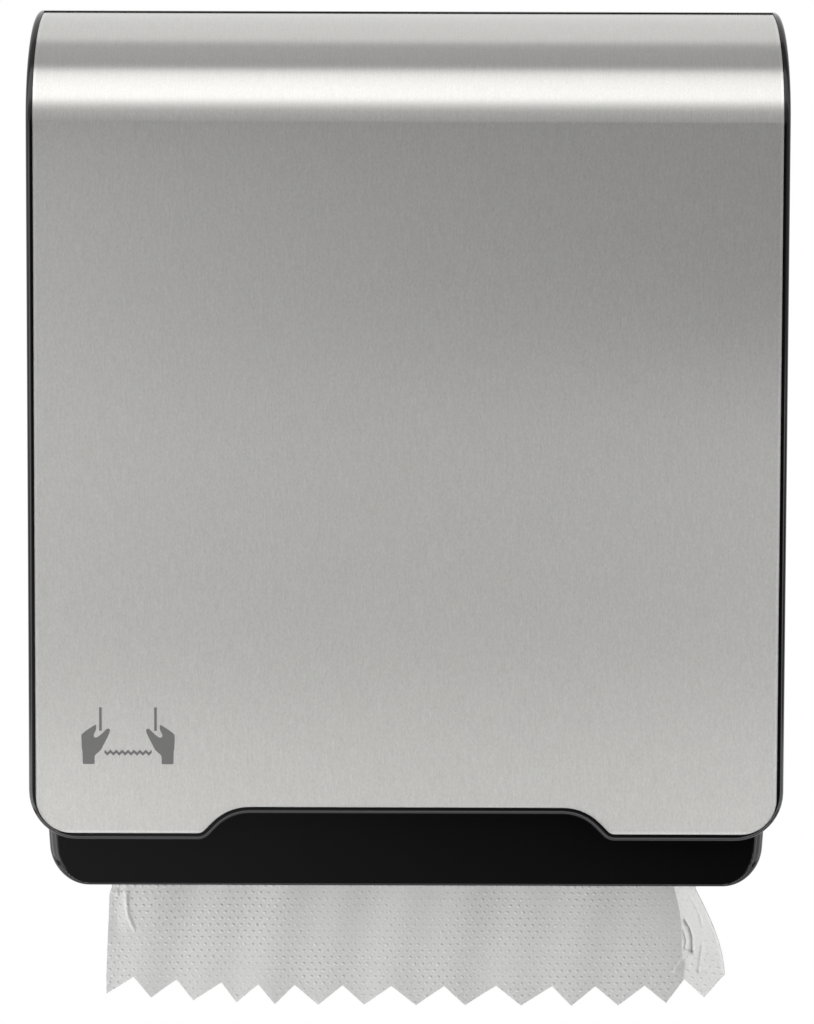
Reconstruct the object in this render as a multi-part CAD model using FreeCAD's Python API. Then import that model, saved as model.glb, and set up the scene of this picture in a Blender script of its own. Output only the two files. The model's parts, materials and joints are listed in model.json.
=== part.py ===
"""Autocut roll towel dispenser: a wall cabinet that cuts and feeds a towel when the tail is pulled.

Frame, in millimetres: +X to the right seen from the front, the wall plane at Y = 0 with the front
towards -Y, +Z up. The origin is the middle of the four wall screw holes on the back face.
"""

import FreeCAD, Part

import math
import os

from FreeCAD import Vector

# Cabinet: the driving sizes
WIDTH = 320.0
HEIGHT = 376.6
DEPTH = 218.0
WALL = 3.0
TOP = 188.5
BOTTOM = TOP - HEIGHT
FRONT = -DEPTH
SIDE = WIDTH / 2
INNER_SIDE = SIDE - WALL

# Front cover and the steel panel let into it
COVER_REAR = -25.5
COVER_SIDE_BOTTOM = -147.5
FRONT_WALL_REAR = FRONT + 12.0
BEND_RADIUS = 52.4
RIM = 3.0
RIM_ROUND = 2.0
STEEL_THICKNESS = 0.8
STEEL_SUNK = 0.5
POCKET_GAP = 0.15
STEEL_END_ANGLE = 76.0
STEEL_HALF = SIDE - RIM
STEEL_BOTTOM = -163.8
STEEL_CORNER = 15.0
COVER_BOTTOM = STEEL_BOTTOM - RIM
COVER_CORNER = 21.0
NOTCH_TOP = -152.5
NOTCH_LOW_X = 86.8
NOTCH_HIGH_X = 75.6
NOTCH_LOW_RADIUS = 4.0
NOTCH_HIGH_RADIUS = 22.0

# Cover hinge near the bottom, and the lock in the top
HINGE_Y = -38.0
HINGE_Z = -154.0
EAR_RADIUS = 11.8
PIN_RADIUS = 4.0
RUNNING = 0.05
LOCK_Y = -46.0
BARREL_RADIUS = 9.0
CORE_RADIUS = 6.5
CAM_LOW = 167.0
CAM_HIGH = 170.0
CAM_REACH = 26.0

# Rear housing and the chin below the cover
FLANGE_DEPTH = 25.0
TONGUE_DEPTH = 60.0
TONGUE_SIDE = 154.5
TONGUE_TOP = 183.0
CHIN_FRONT = -208.0
CHIN_WALL = 2.5
CHIN_LOW_SIDE = 151.9
CHIN_LEAN_TOP = -150.0
CHIN_CORNER = 17.5
CHIN_FRONT_ROUND = 5.0
CHIN_LOW_ROUND = 1.2
CHIN_TOP = -142.0
CHIN_SIDE_TOP = -145.8
SLOT_FRONT = -201.0
SLOT_REAR = -176.0
SLOT_HALF = 134.0

# Wall screws
WALL_SCREW_X = 100.0
WALL_SCREW_Z = 110.0
WALL_HOLE_RADIUS = 2.75
WALL_BOSS = 6.0

# Towel, roll and the two roll arms
PAPER_HALF = 128.0
PAPER_THICKNESS = 0.3
ROLL_Y = -112.0
ROLL_Z = 58.0
ROLL_RADIUS = 91.7
CORE_OUTER = 20.5
CORE_INNER = 19.0
ARM_INNER = 132.0
ARM_OUTER = 135.0
ARM_PIVOT_X = 133.5
ARM_PIVOT_Y = -14.0
STUB_RADIUS = 7.0
KNUCKLE_LOW = -16.6
KNUCKLE_HIGH = 4.0
ARM_SPRING_LOW = 5.2
ARM_SPRING_PITCH = 1.7
ARM_SPRING_RADIUS = 5.0

# Drum with the knife inside; its slot faces up and forward at rest
DRUM_Y = -150.0
DRUM_Z = -125.0
DRUM_RADIUS = 38.0
DRUM_WALL = 2.5
DRUM_HALF = 129.5
DRUM_END = 132.5
SLOT_TURN = 45.0
SLOT_WIDTH_HALF = 3.4
AXLE_RADIUS = 5.0
BAND_RADIUS = 38.2
BAND_CENTRES = (-104.0, -36.0, 36.0, 104.0)
BAND_HALF = 8.0
DRUM_SCREW_X = 125.0
KNIFE_SCREW_X = (-90.0, -30.0, 30.0, 90.0)
TOOTH_PITCH = 20.0
TOOTH_DEPTH = 8.5
KNIFE_TIP = 36.0
FOLLOWER_HEIGHT = 17.5
FOLLOWER_RADIUS = 4.5

# Side frames and what they carry
CAM_INNER = 135.3
FRAME_INNER = 138.3
FRAME_OUTER = 140.8
FRAME_REAR = -3.0
BUSH_RADIUS = 8.0
SCREW_RADIUS = 2.0
SCREW_HEAD = 3.8
SCREW_HEAD_HEIGHT = 2.4
SCREW_LENGTH = 5.8
TIE_RODS = ((-30.0, -165.0), (-192.0, -170.0), (-195.0, -90.0))
FOOT_SCREW_X = 145.5
FOOT_SCREW_Z = (-95.0, -165.0)

# Ratchet and pawl on the right, crank and spring on the left
RATCHET_TEETH = 8
RATCHET_ROOT = 13.0
RATCHET_TIP = 16.0
RATCHET_DROP = 71.0
PAWL_PIVOT = (-20.0, 22.0)
PAWL_LIFT = 8.5
CRANK_RADIUS = 16.0
CRANK_PIN_REACH = 12.0
POST_Y = -72.5
POST_Z = -64.0
SPRING_X = -148.6

# Pressure roller behind the drum
PRESSURE_REACH = 48.2
PRESSURE_ANGLE = 10.0
PRESSURE_RADIUS = 9.0
BRACKET_Y = -96.0
BRACKET_Z = -88.0

# Towel path and the tail that hangs out
WEB_GAP = 0.5
EXIT_SLOPE = 22.0
TAIL_Y = -184.0
TAIL_TOP = -187.0
GUIDE_RADIUS = 52.0
GUIDE_THICKNESS = 1.5
GUIDE_RUN = 20.0

FAR = 400.0
X_AXIS = Vector(1, 0, 0)


# Outlines and solids

def unit(vector):
    """The same direction at length one."""
    return vector * (1.0 / vector.Length)


def outline(corners, place):
    """A closed wire through corners (u, v) or (u, v, radius); place maps (u, v) into space."""
    joints = []
    for index, corner in enumerate(corners):
        radius = corner[2] if len(corner) > 2 else 0.0
        here = Vector(corner[0], corner[1], 0)
        before = Vector(*corners[index - 1][:2], 0)
        after = Vector(*corners[(index + 1) % len(corners)][:2], 0)
        back = unit(before - here)
        ahead = unit(after - here)
        if radius <= 0.0:
            joints.append((here, None, here))
            continue
        half = back.getAngle(ahead) / 2
        setback = radius / math.tan(half)
        bisector = unit(back + ahead)
        middle = here + bisector * (radius / math.sin(half) - radius)
        joints.append((here + back * setback, middle, here + ahead * setback))
    edges = []
    for index, (start, middle, end) in enumerate(joints):
        if middle is not None:
            arc = [place(point.x, point.y) for point in (start, middle, end)]
            edges.append(Part.Arc(*arc).toShape())
        following = joints[(index + 1) % len(joints)][0]
        if (following - end).Length > 1e-4:
            run = Part.LineSegment(place(end.x, end.y), place(following.x, following.y))
            edges.append(run.toShape())
    return Part.Wire(edges)


def prism_x(corners, low, high):
    """An outline in (Y, Z) carried along X from low to high."""
    wire = outline(corners, lambda u, v: Vector(low, u, v))
    return Part.Face(wire).extrude(Vector(high - low, 0, 0))


def prism_y(corners, low, high):
    """An outline in (X, Z) carried along Y from low to high."""
    wire = outline(corners, lambda u, v: Vector(u, low, v))
    return Part.Face(wire).extrude(Vector(0, high - low, 0))


def prism_z(corners, low, high):
    """An outline in (X, Y) carried along Z from low to high."""
    wire = outline(corners, lambda u, v: Vector(u, v, low))
    return Part.Face(wire).extrude(Vector(0, 0, high - low))


def box(x_range, y_range, z_range):
    """A plain block between three pairs of limits."""
    low = Vector(min(x_range), min(y_range), min(z_range))
    size = [abs(pair[1] - pair[0]) for pair in (x_range, y_range, z_range)]
    return Part.makeBox(*size, low)


def rod_x(radius, low, high, y, z):
    """A round bar along X."""
    return Part.makeCylinder(radius, high - low, Vector(low, y, z), X_AXIS)


def rod_y(radius, low, high, x, z):
    """A round bar along Y."""
    return Part.makeCylinder(radius, high - low, Vector(x, low, z), Vector(0, 1, 0))


def rod_z(radius, low, high, x, y):
    """A round bar along Z."""
    return Part.makeCylinder(radius, high - low, Vector(x, y, low), Vector(0, 0, 1))


def ring_x(outer, inner, low, high, y, z):
    """A tube along X."""
    return rod_x(outer, low, high, y, z).cut(rod_x(inner, low - 1, high + 1, y, z))


def rectangle(u_range, v_range, radius=0.0):
    """The four corners of a rectangle, each rounded alike."""
    low_u, high_u = u_range
    low_v, high_v = v_range
    places = [(low_u, low_v), (high_u, low_v), (high_u, high_v), (low_u, high_v)]
    return [(u, v, radius) for u, v in places]


def fused(shapes):
    """All the shapes as one, with seams between level faces taken out."""
    first, *others = shapes
    return first.fuse(others).removeSplitter() if others else first


def mirrored(shape):
    """The same shape on the other side of the middle."""
    return shape.mirror(Vector(0, 0, 0), X_AXIS)


def ribbon(route, thickness):
    """The closed outline of a strip bent along an open route of (u, v, radius) points."""
    points = [Vector(u, v, 0) for u, v, _ in route]
    directions = [unit(b - a) for a, b in zip(points, points[1:])]
    left, right = [], []
    for index, (_, _, radius) in enumerate(route):
        before = directions[max(index - 1, 0)]
        after = directions[min(index, len(directions) - 1)]
        normal_a = Vector(-before.y, before.x, 0)
        normal_b = Vector(-after.y, after.x, 0)
        mitre = (normal_a + normal_b) * (1.0 / (1.0 + normal_a.dot(normal_b)))
        turn = math.copysign(1.0, before.x * after.y - before.y * after.x)
        half = thickness / 2
        for side, sign in ((left, 1.0), (right, -1.0)):
            point = points[index] + mitre * (half * sign)
            bend = max(radius - turn * sign * half, 0.0) if radius else 0.0
            side.append((point.x, point.y, bend))
    return left + right[::-1]


def save(node, shapes):
    """Write one node: a single solid, or a group of separate solids."""
    solids = []
    for shape in shapes if isinstance(shapes, list) else [shapes]:
        solids.extend(shape.Solids)
    whole = solids[0] if len(solids) == 1 else Part.makeCompound(solids)
    whole.exportStep(f"parts/{node}.step")
    box_of = whole.BoundBox
    good = "valid" if whole.isValid() else "NOT VALID"
    print(
        f"{node:24s} {len(solids):2d} solids {whole.Volume:11.1f} mm3 {good}"
        f"  X {box_of.XMin:.1f}..{box_of.XMax:.1f}"
        f"  Y {box_of.YMin:.1f}..{box_of.YMax:.1f}  Z {box_of.ZMin:.1f}..{box_of.ZMax:.1f}"
    )


# Wire forms: springs as one unbroken tube along arcs

def arc_midpoint(start, apex, end):
    """The middle of the arc that starts and ends along the lines to apex."""
    weight = (end - start).Length / 2 / (apex - start).Length
    return (start + end + apex * (2 * weight)) * (1.0 / (2 + 2 * weight))


def biarc(start, start_way, end, end_way):
    """Two tangent arcs, or one straight run, from one place and direction to the next."""
    span = end - start
    if span.cross(start_way).Length < 1e-6 * span.Length:
        return [Part.LineSegment(start, end).toShape()]
    ways = start_way + end_way
    spread = 2.0 * (1.0 - start_way.dot(end_way))
    along = span.dot(ways)
    if spread < 1e-9:
        reach = span.dot(span) / (4.0 * span.dot(end_way))
    else:
        reach = (-along + math.sqrt(along * along + spread * span.dot(span))) / spread
    first_apex = start + start_way * reach
    second_apex = end - end_way * reach
    meeting = (first_apex + second_apex) * 0.5
    first = Part.Arc(start, arc_midpoint(start, first_apex, meeting), meeting)
    second = Part.Arc(meeting, arc_midpoint(meeting, second_apex, end), end)
    return [first.toShape(), second.toShape()]


def wire_tube(stations, radius):
    """A round wire through stations of (place, direction)."""
    edges = []
    for (start, start_way), (end, end_way) in zip(stations, stations[1:]):
        edges.extend(biarc(start, unit(start_way), end, unit(end_way)))
    path = Part.Wire(edges)
    profile = Part.Wire([Part.makeCircle(radius, stations[0][0], stations[0][1])])
    tube = path.makePipeShell([profile], True, False)
    ratio = tube.Volume / (path.Length * math.pi * radius * radius)
    gap = least_gap(edges, radius)
    print(f"  wire of {path.Length:.1f} mm, volume ratio {ratio:.4f}, least gap to itself {gap:.2f} mm")
    return tube


def least_gap(edges, radius):
    """How near the wire's surface comes to itself, measured between points a few turns of wire apart."""
    spacing = radius * 0.8
    points = []
    travelled = 0.0
    for edge in edges:
        count = max(int(edge.Length / spacing), 1) + 1
        for step, point in enumerate(edge.discretize(count)[:-1]):
            points.append((travelled + edge.Length * step / (count - 1), point))
        travelled += edge.Length
    nearest = FAR
    for index, (at, point) in enumerate(points):
        for other_at, other in points[index + 1:]:
            if other_at - at > 4.0 * radius * math.pi:
                nearest = min(nearest, (other - point).Length)
    return nearest - 2 * radius


def coil_stations(base, along, first, radius, pitches):
    """Stations of a coil about the line from base, with one pitch given per quarter turn."""
    along = unit(along)
    first = unit(first)
    second = along.cross(first)
    stations = []
    height = 0.0
    for quarter, pitch in enumerate([*pitches, pitches[-1]]):
        angle = quarter * math.pi / 2
        outward = first * math.cos(angle) + second * math.sin(angle)
        forward = second * math.cos(angle) - first * math.sin(angle)
        way = forward * radius + along * (pitch / (2 * math.pi))
        stations.append((base + along * height + outward * radius, way))
        height += pitch / 4
    return stations


# Front cover

def cover_profile(inset):
    """The cover seen from the side, drawn in by inset from its outer skin."""
    return [
        (COVER_REAR, COVER_SIDE_BOTTOM),
        (FRONT_WALL_REAR, COVER_SIDE_BOTTOM),
        (FRONT_WALL_REAR, COVER_BOTTOM - 1),
        (FRONT + inset, COVER_BOTTOM - 1),
        (FRONT + inset, TOP - inset, BEND_RADIUS - inset),
        (COVER_REAR, TOP - inset),
    ]


def cover_cavity_profile(inset):
    """The room inside the cover seen from the side, open below and behind."""
    return [
        (COVER_REAR + 1, COVER_BOTTOM - 2),
        (FRONT + inset, COVER_BOTTOM - 2),
        (FRONT + inset, TOP - inset, BEND_RADIUS - inset),
        (COVER_REAR + 1, TOP - inset),
    ]


def front_outline(grow, corner):
    """The steel panel's outline with its notch from the front, grown outwards by grow."""
    shift = grow * math.tan(math.radians(22.5))
    half = STEEL_HALF + grow
    bottom = STEEL_BOTTOM - grow
    notch = NOTCH_TOP - grow
    low_x = NOTCH_LOW_X - shift
    high_x = NOTCH_HIGH_X - shift
    low_radius = NOTCH_LOW_RADIUS + grow
    high_radius = NOTCH_HIGH_RADIUS - grow
    return [
        (-half, TOP + 1),
        (-half, bottom, corner),
        (-low_x, bottom, low_radius),
        (-high_x, notch, high_radius),
        (high_x, notch, high_radius),
        (low_x, bottom, low_radius),
        (half, bottom, corner),
        (half, TOP + 1),
    ]


def beyond_panel_end():
    """Everything past the line where the steel ends on the bend."""
    centre_y = FRONT + BEND_RADIUS
    centre_z = TOP - BEND_RADIUS
    angle = math.radians(STEEL_END_ANGLE)
    edge_y = centre_y - FAR * math.cos(angle)
    edge_z = centre_z + FAR * math.sin(angle)
    corners = [(centre_y, centre_z), (edge_y, edge_z), (FAR, edge_z), (FAR, centre_z)]
    return prism_x(corners, -FAR, FAR)


def skin_edges(shape):
    """The long edges between the cover's front, bend and top and its sides and bottom."""
    centre_y = FRONT + BEND_RADIUS
    centre_z = TOP - BEND_RADIUS
    chosen = []
    for edge in shape.Edges:
        points = edge.discretize(5)
        on_front = all(abs(p.y - FRONT) < 1e-3 for p in points)
        on_top = all(abs(p.z - TOP) < 1e-3 for p in points)
        on_bend = all(
            abs(math.hypot(p.y - centre_y, p.z - centre_z) - BEND_RADIUS) < 1e-3 for p in points
        )
        across = abs(points[0].x - points[-1].x) > WIDTH / 2 and points[0].z > 0
        if (on_front or on_top or on_bend) and not across:
            chosen.append(edge)
    return chosen


def front_cover():
    body = prism_x(cover_profile(0.0), -SIDE, SIDE)
    body = body.common(prism_y(front_outline(RIM, COVER_CORNER), FRONT - 1, 0.0))
    body = body.makeFillet(RIM_ROUND, skin_edges(body))
    ears = []
    for side in (-1, 1):
        low, high = sorted((side * INNER_SIDE, side * SIDE))
        ears.append(rod_x(EAR_RADIUS, low, high, HINGE_Y, HINGE_Z))
        neck = ((HINGE_Y - EAR_RADIUS, HINGE_Y + EAR_RADIUS), (HINGE_Z, COVER_SIDE_BOTTOM + 1))
        ears.append(box((low, high), *neck))
    cavity = prism_x(cover_cavity_profile(WALL), -INNER_SIDE, INNER_SIDE)
    body = fused([body.cut(cavity), *ears])
    pocket = prism_x(cover_cavity_profile(-1.0), -FAR, FAR)
    pocket = pocket.cut(prism_x(cover_cavity_profile(STEEL_SUNK + STEEL_THICKNESS), -FAR, FAR))
    pocket = pocket.common(prism_y(front_outline(POCKET_GAP, STEEL_CORNER + POCKET_GAP), FRONT - 5, 0.0))
    pocket = pocket.cut(beyond_panel_end())
    tools = [pocket]
    for side in (-1, 1):
        low, high = sorted((side * (INNER_SIDE - 1), side * (SIDE + 1)))
        tools.append(rod_x(PIN_RADIUS + RUNNING, low, high, HINGE_Y, HINGE_Z))
        low, high = sorted((side * (SIDE - 1.5), side * (SIDE + 1)))
        tools.append(rod_x(PIN_RADIUS + 2.6, low, high, HINGE_Y, HINGE_Z))
    tools.append(rod_z(BARREL_RADIUS, TOP - 6, TOP + 1, 0, LOCK_Y))
    tools.append(rod_z(BARREL_RADIUS + 3.2, TOP - 1.3, TOP + 1, 0, LOCK_Y))
    return body.cut(tools)


def steel_panel():
    outer = prism_x(cover_cavity_profile(STEEL_SUNK), -FAR, FAR)
    inner = prism_x(cover_cavity_profile(STEEL_SUNK + STEEL_THICKNESS), -FAR - 1, FAR + 1)
    sheet = outer.common(prism_y(front_outline(0.0, STEEL_CORNER), FRONT - 5, 0.0))
    return sheet.cut(inner).cut(beyond_panel_end())


def hinge_pin():
    """The right pin: its shank sits in the housing boss and the cover's ear turns on it."""
    shank = rod_x(PIN_RADIUS, 143.0, SIDE - 1.4, HINGE_Y, HINGE_Z)
    head = rod_x(PIN_RADIUS + 2.5, SIDE - 1.4, SIDE - 0.2, HINGE_Y, HINGE_Z)
    return fused([shank, head])


# Lock in the cover's top

def lock_barrel():
    body = rod_z(BARREL_RADIUS, 173.0, TOP - 1.3, 0, LOCK_Y)
    flange = rod_z(BARREL_RADIUS + 3.0, TOP - 1.3, TOP - 0.2, 0, LOCK_Y)
    bore = rod_z(CORE_RADIUS + RUNNING, 172.0, TOP + 1, 0, LOCK_Y)
    return fused([body, flange]).cut(bore)


def lock_nut():
    across = 11.5
    corners = []
    for step in range(6):
        angle = math.radians(60 * step)
        corners.append((across * math.cos(angle), LOCK_Y + across * math.sin(angle)))
    nut = prism_z(corners, 181.0, TOP - WALL)
    return nut.cut(rod_z(BARREL_RADIUS, 180.0, TOP, 0, LOCK_Y))


def lock_core():
    plug = rod_z(CORE_RADIUS, 172.0, TOP - 0.5, 0, LOCK_Y)
    stub = rod_z(4.0, CAM_LOW - 0.5, 172.0, 0, LOCK_Y)
    slot = box((-4.0, 4.0), (LOCK_Y - 0.8, LOCK_Y + 0.8), (TOP - 7.0, TOP + 1))
    return fused([plug, stub]).cut(slot)


def lock_cam():
    corners = [
        (-5.5, LOCK_Y - 6.5, 5.0),
        (5.5, LOCK_Y - 6.5, 5.0),
        (4.0, LOCK_Y + CAM_REACH, 3.5),
        (-4.0, LOCK_Y + CAM_REACH, 3.5),
    ]
    plate = prism_z(corners, CAM_LOW, CAM_HIGH)
    return plate.cut(rod_z(4.0, CAM_LOW - 1, CAM_HIGH + 1, 0, LOCK_Y))


def lock_cam_screw():
    head = rod_z(5.0, CAM_LOW - 2.6, CAM_LOW - 0.5, 0, LOCK_Y)
    slot = box((-5, 5), (LOCK_Y - 0.5, LOCK_Y + 0.5), (CAM_LOW - 3, CAM_LOW - 1.7))
    return head.cut(slot)


def lock_striker():
    """A bent strip: a foot on the back plate, an arm forward and a tab the cam closes behind."""
    tab_y = LOCK_Y - 7.0
    back_y = FRAME_REAR - 1.5
    route = [(back_y, 148.0, 0), (back_y, 176.5, 3), (tab_y, 176.5, 3), (tab_y, 163.0, 0)]
    strip = prism_x(ribbon(route, 3.0), 14.0, 30.0)
    holes = [rod_y(SCREW_RADIUS, -7.0, 0.0, 22.0, z) for z in (155.0, 166.0)]
    return strip.cut(holes)


# Rear housing and chin

def lower_outline(inset, top, top_radius):
    """The tongue's and the chin's outline from the front, drawn in by inset; low down the sides lean in."""
    half = TONGUE_SIDE - inset
    low_half = CHIN_LOW_SIDE - inset
    return [
        (-low_half, BOTTOM + inset, CHIN_CORNER - inset),
        (low_half, BOTTOM + inset, CHIN_CORNER - inset),
        (half, CHIN_LEAN_TOP),
        (half, top, top_radius),
        (-half, top, top_radius),
        (-half, CHIN_LEAN_TOP),
    ]


def rear_housing():
    flange_outline = [
        (-SIDE, COVER_BOTTOM, COVER_CORNER),
        (SIDE, COVER_BOTTOM, COVER_CORNER),
        (SIDE, TOP, WALL),
        (-SIDE, TOP, WALL),
    ]
    flange = prism_y(flange_outline, -FLANGE_DEPTH, 0.0)
    tongue = prism_y(lower_outline(0.0, TONGUE_TOP, 3.0), -TONGUE_DEPTH, 0.0)
    room = prism_y(lower_outline(WALL, TONGUE_TOP - WALL, 1.0), -TONGUE_DEPTH - 1, -WALL)
    body = flange.fuse(tongue).cut(room)
    bosses = []
    for side in (-1, 1):
        low, high = sorted((side * 143.0, side * (TONGUE_SIDE - WALL)))
        bosses.append(rod_x(PIN_RADIUS + 4, low, high, HINGE_Y, HINGE_Z))
        for z in (-WALL_SCREW_Z, WALL_SCREW_Z):
            bosses.append(rod_y(9.0, -WALL_BOSS, -WALL, side * WALL_SCREW_X, z))
    body = fused([body, *bosses])
    tools = []
    for side in (-1, 1):
        low, high = sorted((side * 140.0, side * (SIDE + 1)))
        tools.append(rod_x(PIN_RADIUS, low, high, HINGE_Y, HINGE_Z))
        for z in (-WALL_SCREW_Z, WALL_SCREW_Z):
            tools.append(rod_y(WALL_HOLE_RADIUS, -WALL_BOSS - 1, 1, side * WALL_SCREW_X, z))
    tools.extend(rod_y(SCREW_RADIUS, -4.0, 1.0, x, z) for x, z in back_screw_places())
    lock_notch = rectangle((-17.0, 17.0), (LOCK_Y - 20.0, LOCK_Y + 16.0), 3.0)
    tools.append(prism_z(lock_notch, TONGUE_TOP - WALL - 1, TONGUE_TOP + 1))
    ear_room = EAR_RADIUS + 0.7
    for side in (-1, 1):
        low, high = sorted((side * TONGUE_SIDE, side * (SIDE + 1)))
        tools.append(rod_x(ear_room, low, high, HINGE_Y, HINGE_Z))
    return body.cut(tools)


def varied_fillet(shape, rounds):
    """Rounds edges that run into each other, as (edge number, radius at its start, radius at its end)."""
    document = FreeCAD.newDocument("varied_fillet")
    base = document.addObject("Part::Feature", "base")
    base.Shape = shape
    fillet = document.addObject("Part::Fillet", "fillet")
    fillet.Base = base
    fillet.Edges = rounds
    document.recompute()
    rounded = fillet.Shape.Solids[0].copy()
    FreeCAD.closeDocument(document.Name)
    return rounded


def chin_shroud():
    body = prism_y(lower_outline(0.0, CHIN_TOP, 0.0), CHIN_FRONT, -TONGUE_DEPTH)
    rounds = []
    for number, edge in enumerate(body.Edges, 1):
        points = edge.discretize(5)
        on_front = all(abs(p.y - CHIN_FRONT) < 1e-3 for p in points)
        if on_front and min(p.z for p in points) < CHIN_TOP - 1:
            ends = [edge.Vertexes[0].Point.z, edge.Vertexes[-1].Point.z]
            radii = [CHIN_LOW_ROUND if z < BOTTOM + 1 else CHIN_FRONT_ROUND for z in ends]
            rounds.append((number, *radii))
    body = varied_fillet(body, rounds)
    inner = lower_outline(CHIN_WALL, CHIN_TOP + 1, 0.0)
    room = prism_y(inner, CHIN_FRONT + CHIN_WALL, -TONGUE_DEPTH + 1)
    above_sides = box((-FAR, FAR), (CHIN_FRONT + 9.0, 0), (CHIN_SIDE_TOP, 0))
    slot = prism_z(rectangle((-SLOT_HALF, SLOT_HALF), (SLOT_FRONT, SLOT_REAR), 4.0), BOTTOM - 1, BOTTOM + 5)
    body = body.cut([room, above_sides, slot])
    tabs = []
    for x in (-90.0, 90.0):
        riser = box((x - 12, x + 12), (-80.0, -TONGUE_DEPTH - 1), (BOTTOM + CHIN_WALL, BOTTOM + 5.5))
        tongue = box((x - 12, x + 12), (-TONGUE_DEPTH - 1, -46.0), (BOTTOM + WALL, BOTTOM + 5.5))
        tabs.extend((riser, tongue))
    return fused([body, *tabs])


# Side frames, tie rods and screws

def back_screw_places():
    """X and Z of every screw that goes into the back plate."""
    places = [(side * FOOT_SCREW_X, z) for side in (-1, 1) for z in FOOT_SCREW_Z]
    places += [(-124.0, ROLL_Z - 12.0), (-124.0, ROLL_Z + 12.0)]
    places += [(122.0, ROLL_Z - 16.0), (122.0, ROLL_Z + 5.0)]
    return places + [(22.0, 155.0), (22.0, 166.0)]


def side_frame():
    """The right side frame: a plate with a foot flange turned outwards against the back plate."""
    corners = [
        (FRAME_REAR, -178.0),
        (FRAME_REAR, -60.0),
        (-30.0, -56.0, 8),
        (-78.0, -50.0, 14),
        (-120.0, -80.0, 20),
        (-203.0, -80.0, 10),
        (-203.0, -140.0, 20),
        (-200.0, -182.0, 8),
        (-20.0, -182.0, 6),
    ]
    plate = prism_x(corners, FRAME_INNER, FRAME_OUTER)
    foot = box((FRAME_OUTER, 149.2), (-6.0, FRAME_REAR), (-175.0, -84.0))
    window_corners = [(-62, -170, 8), (-62, -135, 8), (-90, -135, 8), (-104, -170, 8)]
    window = prism_x(window_corners, FRAME_INNER - 1, FRAME_OUTER + 1)
    tools = [window, rod_x(BUSH_RADIUS, FRAME_INNER - 1, FRAME_OUTER + 1, DRUM_Y, DRUM_Z)]
    tools.append(rod_x(3.0, FRAME_INNER - 1, FRAME_OUTER + 1, BRACKET_Y, BRACKET_Z))
    tools += [rod_x(SCREW_RADIUS, FRAME_INNER - 1, FRAME_OUTER + 1, y, z) for y, z in TIE_RODS]
    tools += [rod_y(SCREW_RADIUS, -7.0, 0.0, FOOT_SCREW_X, z) for z in FOOT_SCREW_Z]
    return fused([plate, foot]).cut(tools)


def side_frame_right():
    pawl_y = DRUM_Y + PAWL_PIVOT[0]
    pawl_z = DRUM_Z + PAWL_PIVOT[1]
    return side_frame().cut(rod_x(2.0, FRAME_INNER - 1, FRAME_OUTER + 1, pawl_y, pawl_z))


def side_frame_left():
    post = rod_x(2.0, FRAME_INNER - 1, FRAME_OUTER + 1, POST_Y, POST_Z)
    screws = [rod_x(1.5, FRAME_INNER - 1, FRAME_OUTER + 1, y, z) for y, z in cap_screw_places()]
    return mirrored(side_frame().cut([post, *screws]))


def tie_rods():
    rods = []
    for y, z in TIE_RODS:
        rod = rod_x(4.0, -FRAME_INNER, FRAME_INNER, y, z)
        depth = SCREW_LENGTH - (FRAME_OUTER - FRAME_INNER)
        ends = [rod_x(SCREW_RADIUS, FRAME_INNER - depth, FRAME_INNER + 1, y, z)]
        ends.append(rod_x(SCREW_RADIUS, -FRAME_INNER - 1, depth - FRAME_INNER, y, z))
        rods.append(rod.cut(ends))
    return rods


def screw():
    """A cross-slotted pan screw with its head's underside at the origin and its shank along +X."""
    shank = rod_x(SCREW_RADIUS, 0.0, SCREW_LENGTH, 0, 0)
    head = rod_x(SCREW_HEAD, -SCREW_HEAD_HEIGHT, 0.0, 0, 0)
    rim = [edge for edge in head.Edges if edge.BoundBox.XMax < -SCREW_HEAD_HEIGHT + 0.01]
    head = head.makeFillet(1.0, rim)
    cross = [
        box((-SCREW_HEAD_HEIGHT - 1, -1.2), (-2.2, 2.2), (-0.4, 0.4)),
        box((-SCREW_HEAD_HEIGHT - 1, -1.2), (-0.4, 0.4), (-2.2, 2.2)),
    ]
    return fused([shank, head]).cut(cross)


def frame_screws():
    screws = []
    for x, z in back_screw_places():
        one = screw()
        one.rotate(Vector(0, 0, 0), Vector(0, 0, 1), 90)
        one.translate(Vector(x, FRAME_REAR - 3.0, z))
        screws.append(one)
    for y, z in TIE_RODS:
        left = screw()
        left.translate(Vector(-FRAME_OUTER, y, z))
        right = mirrored(screw())
        right.translate(Vector(FRAME_OUTER, y, z))
        screws += [left, right]
    return screws


def drum_bush():
    sleeve = rod_x(BUSH_RADIUS, CAM_INNER, FRAME_OUTER, DRUM_Y, DRUM_Z)
    flange = rod_x(BUSH_RADIUS + 2, FRAME_OUTER, FRAME_OUTER + 0.7, DRUM_Y, DRUM_Z)
    bore = rod_x(AXLE_RADIUS + RUNNING, CAM_INNER - 1, FRAME_OUTER + 2, DRUM_Y, DRUM_Z)
    return fused([sleeve, flange]).cut(bore)


def lobed(base_radius, lobe_radius, reach, low, high):
    """A disc on the drum's line with a rounded lobe towards the cutting place below and behind."""
    toward = math.radians(-SLOT_TURN)
    centre = rod_x(base_radius, low, high, DRUM_Y, DRUM_Z)
    lobe_y = DRUM_Y + reach * math.cos(toward)
    lobe_z = DRUM_Z + reach * math.sin(toward)
    lobe = rod_x(lobe_radius, low, high, lobe_y, lobe_z)
    lean = math.acos((base_radius - lobe_radius) / reach)
    corners = []
    for radius, y, z, turn in (
        (base_radius, DRUM_Y, DRUM_Z, lean),
        (lobe_radius, lobe_y, lobe_z, lean),
        (lobe_radius, lobe_y, lobe_z, -lean),
        (base_radius, DRUM_Y, DRUM_Z, -lean),
    ):
        corners.append((y + radius * math.cos(toward + turn), z + radius * math.sin(toward + turn)))
    return fused([centre, lobe, prism_x(corners, low, high)])


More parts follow.
